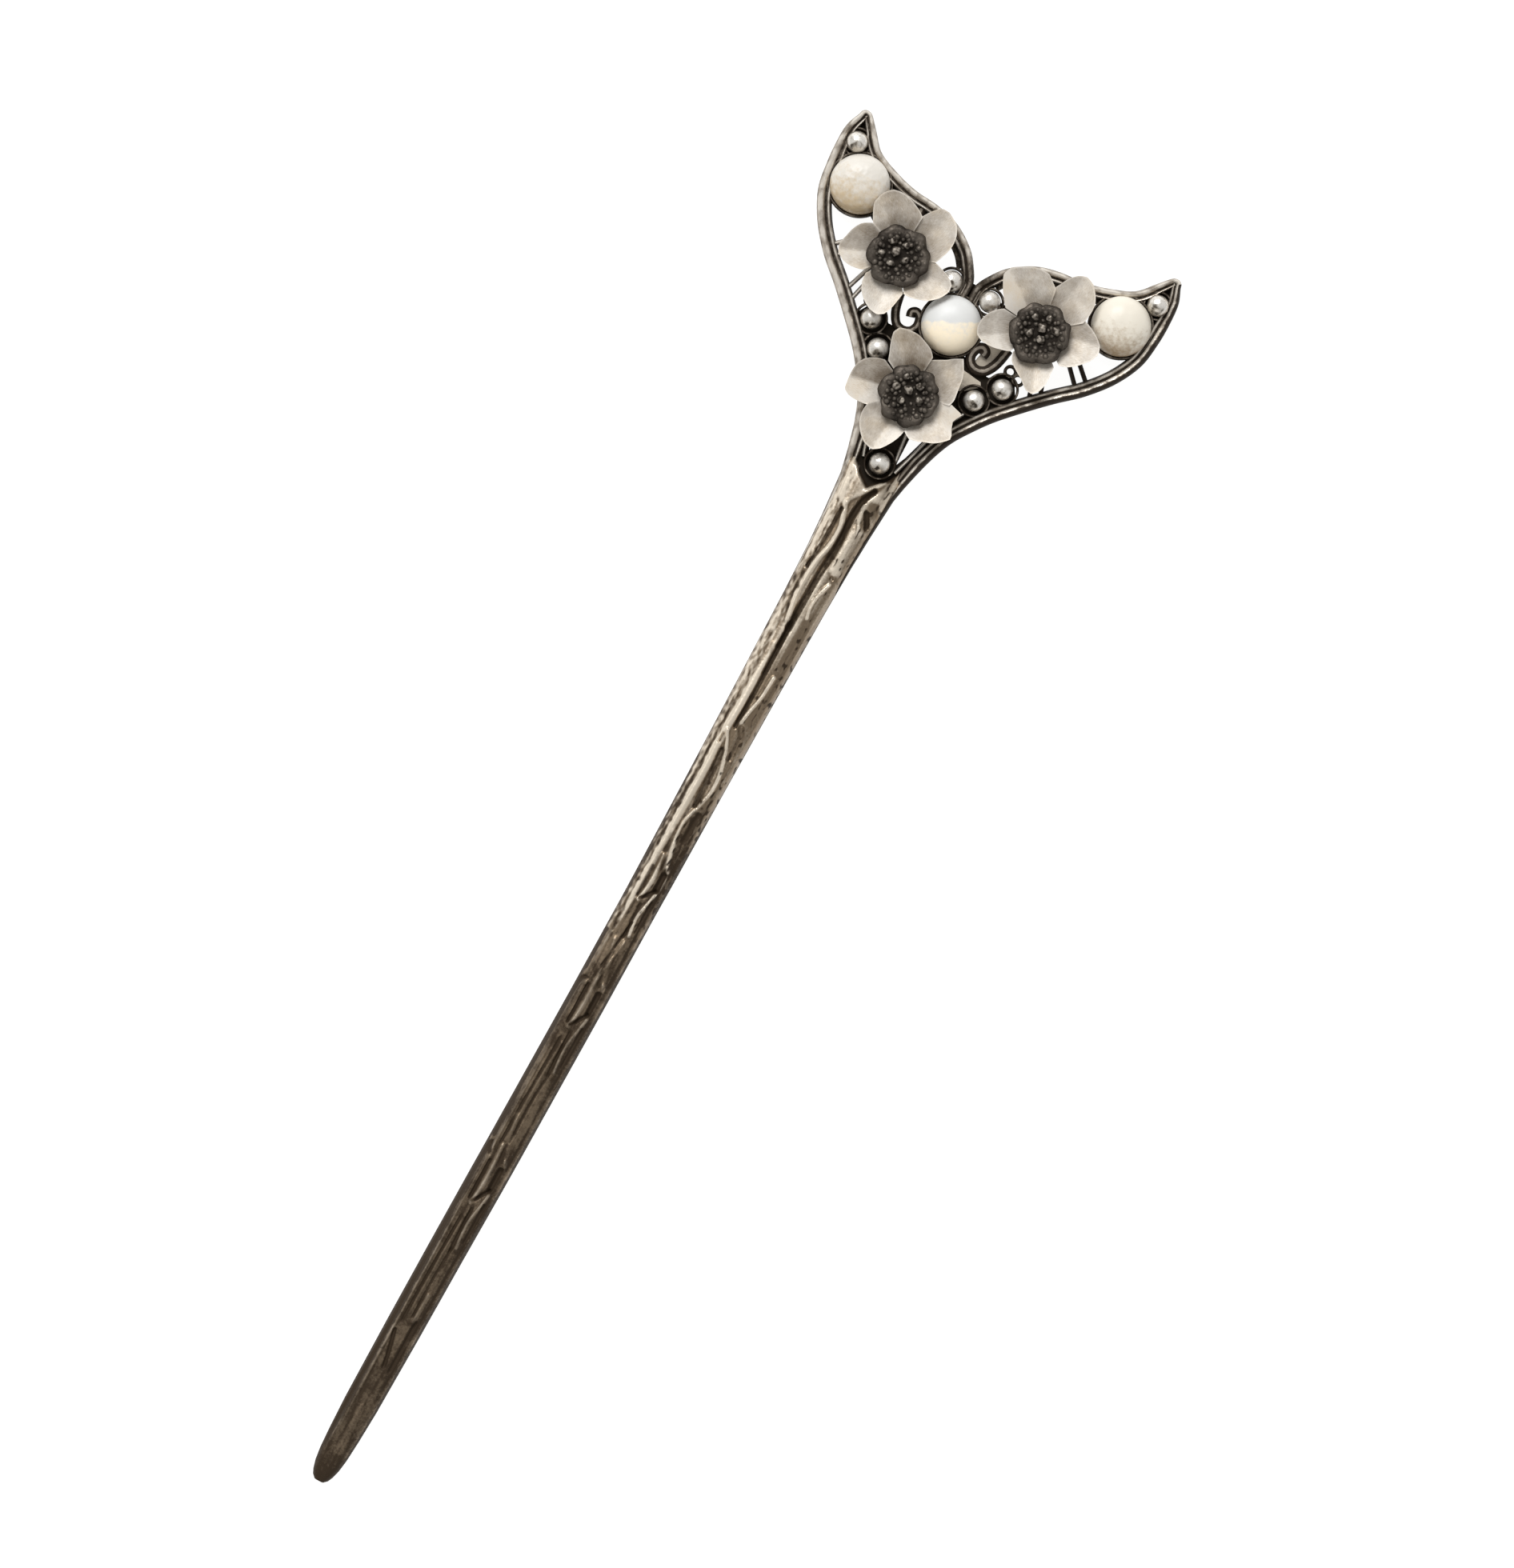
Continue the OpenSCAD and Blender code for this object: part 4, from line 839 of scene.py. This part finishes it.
# Each row: angle of the crease, lift over the petal it laps, how much painted shade the petal has before and
# after its crease, then its outline in columns angle, reach from the flower's middle
petals = {
    "left": [
        [65, 0, 0.34, 0.4, [[14, 4.2], [25, 5], [35, 6], [45, 6.8], [55, 7.3], [68, 7.4], [75, 7.1],
            [80, 6.3], [86, 5.2], [90, 4.6]]],
        [137, 0.04, 0.58, 0.3, [[86, 4.9], [92, 5.3], [100, 5.8], [108, 6.4], [116, 7], [125, 7.4],
            [135, 7.2], [145, 6.6], [152, 5.6], [160, 4.6]]],
        [204, 0, 0.55, 0.02, [[160, 4.7], [170, 5.6], [180, 6.1], [190, 6.5], [200, 7.1], [207, 7.1],
            [215, 6.6], [220, 6.1], [226, 5.4], [232, 4.6]]],
        [275, 0.04, 0.18, 0.12, [[238, 4.5], [245, 5.4], [252, 6.1], [260, 6.7], [270, 7.3], [278, 7.5],
            [284, 7.2], [290, 6.3], [296, 5.4], [303, 4.6]]],
        [351, 0.08, 0.38, 0.4, [[304, 4.7], [312, 5.2], [320, 5.7], [330, 6.4], [340, 6.9], [350, 7.2],
            [357, 7], [363, 6.2], [368, 5.2], [374, 4.3]]]],
    "right": [
        [14, 0, 0.25, 0.5, [[-34, 4.6], [-26, 5.2], [-18, 5.7], [-10, 6.2], [-2, 6.8], [6, 7.2], [14, 7],
            [24, 6.3], [34, 5.6], [44, 5]]],
        [80, 0.04, 0.26, 0.45, [[38, 4.9], [46, 5.9], [54, 6.9], [62, 7.5], [70, 8], [78, 8.1], [84, 7.6],
            [90, 6.8], [96, 5.7], [102, 5]]],
        [147, 0, 0.3, -0.4, [[98, 5], [104, 5.6], [110, 6.5], [120, 7.1], [132, 7.5], [144, 8], [152, 7.8],
            [158, 6.9], [166, 5.8], [176, 4.8]]],
        [213, 0.04, 0.42, 0.05, [[178, 4.9], [184, 5.7], [190, 6.3], [197, 6.9], [204, 7.3], [212, 7.4],
            [218, 7], [226, 6.1], [234, 5.1], [242, 4.3]]],
        [290, 0.08, 0.38, 0.12, [[246, 4], [254, 4.8], [262, 5.2], [270, 5.6], [277, 6.1], [284, 7.1],
            [290, 7.4], [297, 7], [304, 6.2], [311, 5.2], [318, 4.5]]]],
    "low": [
        [61, 0, 0.43, 0.5, [[10, 4.7], [18, 5.1], [26, 5.3], [34, 5.6], [42, 6.1], [50, 6.6], [56, 6.9],
            [61, 7.25], [65, 6.6], [71, 5.6], [78, 5], [84, 4.6], [90, 4.3]]],
        [128, 0.04, 0.68, 0.44, [[86, 4.8], [93, 5.5], [101, 6], [110, 6.7], [119, 7.2], [128, 7.6],
            [134, 7.3], [140, 6.2], [146, 5.2], [153, 4.5]]],
        [193, 0, 0.78, 0, [[156, 4.8], [164, 5.8], [172, 6.6], [180, 7.05], [190, 7.25], [198, 7.4],
            [205, 7.6], [211, 7.1], [218, 6], [228, 4.5]]],
        [263, 0.04, 0.4, 0.05, [[222, 5], [229, 5.9], [237, 6.7], [246, 7.3], [255, 7.8], [264, 7.9],
            [270, 7.3], [276, 6.4], [283, 5.4], [290, 4.4]]],
        [342, 0.08, 0.22, -0.08, [[290, 4.5], [296, 5.3], [304, 5.6], [314, 5.9], [323, 6.4], [332, 6.8],
            [340, 7.1], [347, 6.3], [354, 5.9], [360, 6.1], [365, 6.5], [369, 5.5], [374, 4.6]]]]}
brushed, given, result = new_group(
    "Brushed petal",
    [("Along", 0.0), ("Across", 0.0), ("Rim", 0.0), ("Half shade", 0.0), ("Silver", (0.76, 0.71, 0.64)),
     ("Warm", (0.7, 0.58, 0.42)), ("Shadow", (0.2, 0.155, 0.11))],
    ["Color", "Roughness", "Height"])
place = add_node(brushed, "TexCoord").outputs["Object"]
strokes_at = add_node(brushed, "CombineXYZ", {0: figure(brushed, "MULTIPLY", given["Across"], 9.0),
                                              1: figure(brushed, "MULTIPLY", given["Along"], 1.1)})
strokes = cloudy(brushed, strokes_at.outputs[0], 2.0, 6.0, 0.7)
veils = cloudy(brushed, place, 520.0, 5.0, 0.68)
dust = cloudy(brushed, place, 4200.0, 3.0, 0.7)
tarnish = cloudy(brushed, place, 330.0, 4.0)
# The petal is darker towards the flower's middle: painted shade beside the dark centre.
shade_near_middle = spread_out(brushed, given["Along"], 5.2, 3.4)
shade = added(brushed, shade_near_middle, 0.25, added(brushed, strokes, 1.1, -0.55))
shade = added(brushed, veils, 1.2, figure(brushed, "SUBTRACT", shade, 0.6))
# Each half's painted shade comes in from the petal's mark.
shade = added(brushed, given["Half shade"], 0.9, shade)
# The rim mark lightens the edges: a painted highlight.
shade = spread_out(brushed, added(brushed, given["Rim"], -0.55, shade), -0.05, 1.0)
warmth = spread_out(brushed, added(brushed, strokes, 1.2, tarnish), 1.0, 1.5)
plain = blended(brushed, warmth, given["Silver"], given["Warm"])
put_out(brushed, result,
        Color=blended(brushed, shade, plain, given["Shadow"]),
        Roughness=added(brushed, strokes, 0.25, 0.45),
        Height=added(brushed, dust, 0.25, strokes))
petal_finish, shader, look = finish_from(
    brushed, "Brushed petal silver",
    {"Along": "along", "Across": "across", "Rim": "raised", "Half shade": "hollow"}, {}, 0.3, 0.00006)
shader.inputs["Metallic"].default_value = 0.15


def petal(centre, crease, lap, shade_before, shade_after, outline, seed):
    """A creased sheet. Returns the part and, for each point, its place along and across the petal."""
    outline = np.array(outline, float)
    turn = np.concatenate([np.linspace(outline[0, 0], crease, 17),
                           np.linspace(crease, outline[-1, 0], 17)[1:]])
    reach = smear(read_off(outline, turn)[:, None], (0.35, 0.01))[:, 0]
    share, reach = np.meshgrid(np.linspace(0, 1, 25), reach, indexing="ij")
    r = petal_base + (reach - petal_base) * share
    off_crease = r * np.sin(np.radians(turn - crease))[None, :]
    top = petal_thick + petal_rise * ((r - petal_base) / petal_length) ** 1.2
    top += petal_fold * ramp(r, 1.2, 3.5) * (np.sqrt(off_crease * off_crease + 0.03) - 0.17)
    top += 0.05 * np.sin(share * 5 + seed) * np.clip(np.abs(off_crease) / 2.5, 0, 1) ** 2
    px, py = centre[0] + r * np.cos(np.radians(turn)), centre[1] + r * np.sin(np.radians(turn))
    high = np.stack([px, py, flower_base + lap + top], 2)
    low = high - [0, 0, petal_thick]
    rows, columns = r.shape
    count = rows * columns
    points = np.vstack([high.reshape(-1, 3), low.reshape(-1, 3)])
    points[:, 2] += np.tile(speckle(high.reshape(-1, 3), 1.6, seed) * 0.04, 2)
    points[:, 2] = np.minimum(points[:, 2], petal_ceiling)
    faces = []
    for i in range(rows - 1):
        for j in range(columns - 1):
            corner = i * columns + j
            quad = (corner, corner + columns, corner + columns + 1, corner + 1)
            faces += [quad, tuple(count + v for v in reversed(quad))]
    rim = ([(i, 0) for i in range(rows)] + [(rows - 1, j) for j in range(1, columns)]
           + [(i, columns - 1) for i in range(rows - 2, -1, -1)]
           + [(0, j) for j in range(columns - 2, 0, -1)])
    for (i, j), (i2, j2) in zip(rim, rim[1:] + rim[:1]):
        here, there = i * columns + j, i2 * columns + j2
        faces.append((there, here, count + here, count + there))
    from_sides = r * np.radians(np.minimum(turn - turn[0], turn[-1] - turn))[None, :]
    # The edges are marked for a painted highlight along the rim.
    edges = np.clip(1 - np.minimum(reach - r, from_sides) / 0.22, 0, 1)
    # Each half of the petal carries its own painted shade, for how the light falls on that side of its
    # crease.
    half_shade = shade_before + (shade_after - shade_before) * np.clip(off_crease / 0.3 + 0.5, 0, 1)
    both_sides = [np.tile(mark.ravel(), 2) for mark in (half_shade, edges, r, off_crease + seed * 3)]
    return (points, faces, *both_sides[:2]), *both_sides[2:]


hub_profile = [[0, flower_base - hub_edge, 0, 0], [2.65, flower_base - hub_edge, 0, 0],
               [2.75, flower_base, 0, 0], [2.7, flower_base + 0.2, 0, 0], [0, flower_base + 0.2, 0, 0]]
for which, spot in flower_spots.items():
    centre = spot_on(spot)
    hub = turned(hub_profile, centre, 48)
    # The length of the flower's name keeps the dents of the three flowers different.
    made = [petal(centre, *row, number * 1.7 + len(which)) for number, row in enumerate(petals[which])]
    flower = make_piece("flower_" + which + "_pressed", [part for part, *_ in made] + [hub], petal_finish,
                        corner=55)
    write_mark(flower.data, "along", [along for _, along, _ in made] + [np.full(len(hub[0]), 1.5)])
    write_mark(flower.data, "across", [across for *_, across in made] + [np.zeros(len(hub[0]))])
    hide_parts("flower_" + which)

# The dark middles of the flowers. Each is a small blackened cushion of six soft lobes with a ring of five
# grains and one in the centre, rubbed a little bright on their tops. It is glued on the flower's hub.
stamen_radius = 3.8
stamen_low_by = 0.42
stamen_base = seat_height + 0.72
# Columns: angle of the first grain, how far the grains sit off the middle in two directions
stamen_turn = {"left": [59.6, -0.5, 0.3], "right": [7.6, -0.06, 0.74], "low": [49, -0.33, 0.6]}
# Columns: distance from the middle, number in the ring, height of their middles, size
granules = [[3.05, 24, 1.3, 0.62], [2.62, 20, 1.62, 0.62], [2.15, 17, 1.42, 0.6], [1.65, 12, 1.12, 0.6],
    [1.05, 8, 1.05, 0.55]]
# Columns: share of the radius, height, black, polish
cushion = np.array([[0, 0, 1, 0], [0.4, 0, 1, 0], [0.66, 0.38, 1, 0], [0.86, 0.72, 0.8, 0],
    [0.97, 1.05, 0.6, 0], [1.0, 1.35, 0.45, 0.05], [0.95, 1.62, 0.35, 0.15], [0.85, 1.76, 0.3, 0.2],
    [0.73, 1.74, 0.35, 0.15], [0.62, 1.55, 0.55, 0.05], [0.52, 1.3, 0.8, 0], [0.38, 1.12, 0.9, 0],
    [0.2, 1.1, 0.9, 0], [0, 1.12, 0.9, 0]])
grain_finish = silver_finish("Blackened grains", silver=(0.125, 0.106, 0.088), bright=(0.38, 0.34, 0.29),
                             black=(0.02, 0.015, 0.011), blackening=0.0, blotch=1.3, polish=0.5, bump=0.9)
fine_shares = np.linspace(0, len(cushion) - 1, 53)
fine_cushion = np.column_stack([np.interp(fine_shares, np.arange(len(cushion)), column)
                                for column in cushion.T])
fine_cushion[1:-1, 0] = np.maximum(fine_cushion[1:-1, 0], 0.01)
for which, spot in flower_spots.items():
    centre = spot_on(spot) - [0, stamen_low_by]
    turn, off_x, off_y = stamen_turn[which]
    lobes_from = math.radians(turn + 14)
    profile = fine_cushion * [stamen_radius, 1, 1, 1] + [0, stamen_base, 0, 0]
    points, faces, black, bright = turned(profile, centre, 120)
    out = points[:, :2] - centre
    radius = np.hypot(out[:, 0], out[:, 1])
    angle = np.arctan2(out[:, 1], out[:, 0]) - lobes_from
    swing = np.abs(np.cos(3 * angle)) ** 0.55
    ragged = speckle(points, 1.5, turn)
    outer = np.clip(radius / stamen_radius * 1.6 - 0.55, 0, 1)
    points[:, :2] = centre + out * (1 - outer * (0.1 * (1 - swing) + 0.12 * (ragged + 0.35)))[:, None]
    top_side = points[:, 2] > stamen_base + 1
    points[:, 2] += np.where(top_side, outer * (0.25 * swing - 0.22 + 0.12 * ragged), 0)
    points[:, 2] += np.where(top_side, speckle(points, 0.5, turn) * 0.07, 0)
    black = np.clip(black + outer * 0.5 * (1 - swing), 0, 1)
    parts = [(points, faces, black, bright)]
    # Small uneven granules cover the cushion in rings. The outermost ring follows the lobes.
    for ring, (out_by, count_round, high, size) in enumerate(granules):
        for number in range(count_round):
            angle = 2 * math.pi * (number + 0.5 * ring) / count_round + 0.1 * math.sin(number * 5.3 + turn)
            shift = out_by + 0.14 * math.sin(number * 2.9 + turn + ring)
            if ring == 0:
                shift -= 0.39 * (1 - abs(math.cos(3 * (angle - lobes_from))) ** 0.55)
            at = centre + [shift * math.cos(angle), shift * math.sin(angle)]
            grown = size * (1 + 0.22 * math.sin(number * 3.7 + ring))
            points, faces, black, bright = ball(at, stamen_base + high - grown / 2, grown, 0.3, 9)
            points[:, 2] += speckle(points, 0.4, 2.0) * 0.1
            parts.append((points, faces, np.clip(black + 0.45, 0, 1), bright))
    # The grains: a larger one in the middle and five round it.
    middle_of_grains = centre + [off_x, off_y]
    grains = [(middle_of_grains, 1.1)]
    for number in range(5):
        sway = math.sin(number * 2.4 + turn)
        angle = math.radians(turn + 72 * number + 6 * sway)
        spread = 1.5 + 0.15 * sway
        grains.append((middle_of_grains + [spread * math.cos(angle), spread * math.sin(angle)], 0.95))
    for at, size in grains:
        points, faces, black, bright = ball(at, stamen_base + 0.9, size)
        points[:, :2] += (points[:, :2] - at) * speckle(points, 0.5, turn)[:, None] * 0.5
        points[:, 2] += speckle(points, 0.45, 5.0) * 0.12
        ragged = speckle(points, 0.35, 11.0)
        parts.append((points, faces, np.clip(black - ragged, 0, 1),
                      np.clip(bright * (0.55 + 1.1 * ragged), 0, 1)))
    stamen = make_piece("flower_middle_" + which, parts, grain_finish, corner=70)
    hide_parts("stamen_" + which)

# The table it lies on: a plain white sheet of opal plastic, lit softly from below, as small things are
# photographed. It lies a little below the back so that the two don't share a plane.
sheet = bpy.data.meshes.new("table_sheet")
reach = 1.5
below = 0.00002
sheet.from_pydata([(px, py, -below) for px, py in ((-reach, -reach), (reach, -reach), (reach, reach),
                                                   (-reach, reach))], [], [(0, 1, 2, 3)])
table = bpy.data.objects.new("table_sheet", sheet)
bpy.context.scene.collection.objects.link(table)
opal = bpy.data.materials.new("White opal sheet")
opal.use_nodes = True
sheet_shader = opal.node_tree.nodes["Principled BSDF"]
sheet_shader.inputs["Base Color"].default_value = (0.15, 0.15, 0.15, 1)
sheet_shader.inputs["Roughness"].default_value = 0.9
sheet_shader.inputs["Specular IOR Level"].default_value = 0.1
sheet_shader.inputs["Emission Color"].default_value = (1, 0.995, 0.985, 1)
sheet_shader.inputs["Emission Strength"].default_value = 0.96
table.data.materials.append(opal)

# Soft studio light. A large lamp stands beyond the upper edge of the picture, a weak one opposite it, and
# the room gives an even pale light.
def lamp(name, direction, height, away, size, power):
    light = bpy.data.lights.new(name, "AREA")
    light.shape = "DISK"
    light.size = size
    light.energy = power
    stand = bpy.data.objects.new(name, light)
    stand.location = Vector(direction).normalized() * away + Vector((0, 0, height))
    stand.rotation_euler = (Vector((0, 0.02, 0)) - stand.location).to_track_quat("-Z", "Y").to_euler()
    bpy.context.scene.collection.objects.link(stand)


lamp("key_lamp", (-0.62, 0.78, 0), height=0.8, away=0.75, size=0.6, power=9.5)
lamp("fill_lamp", (0.2, -0.9, 0), height=0.6, away=0.9, size=0.5, power=1.0)
room = bpy.data.worlds.new("Pale room")
room.use_nodes = True
room.node_tree.nodes["Background"].inputs[0].default_value = (1, 0.99, 0.97, 1)
room.node_tree.nodes["Background"].inputs[1].default_value = 0.46
bpy.context.scene.world = room
bpy.context.scene.view_settings.view_transform = "Standard"

# The camera looks straight down, turned so that the stick leans to the right as in the photograph.
lens = bpy.data.cameras.new("camera")
lens.sensor_width = 36
lens.lens = 198.6
camera = bpy.data.objects.new("camera", lens)
camera.location = (0.00557, 0.0102, 1.0)
lean_right = math.atan2(0.479, 0.878)
camera.rotation_euler = (0, 0, lean_right)
bpy.context.scene.collection.objects.link(camera)
bpy.context.scene.camera = camera
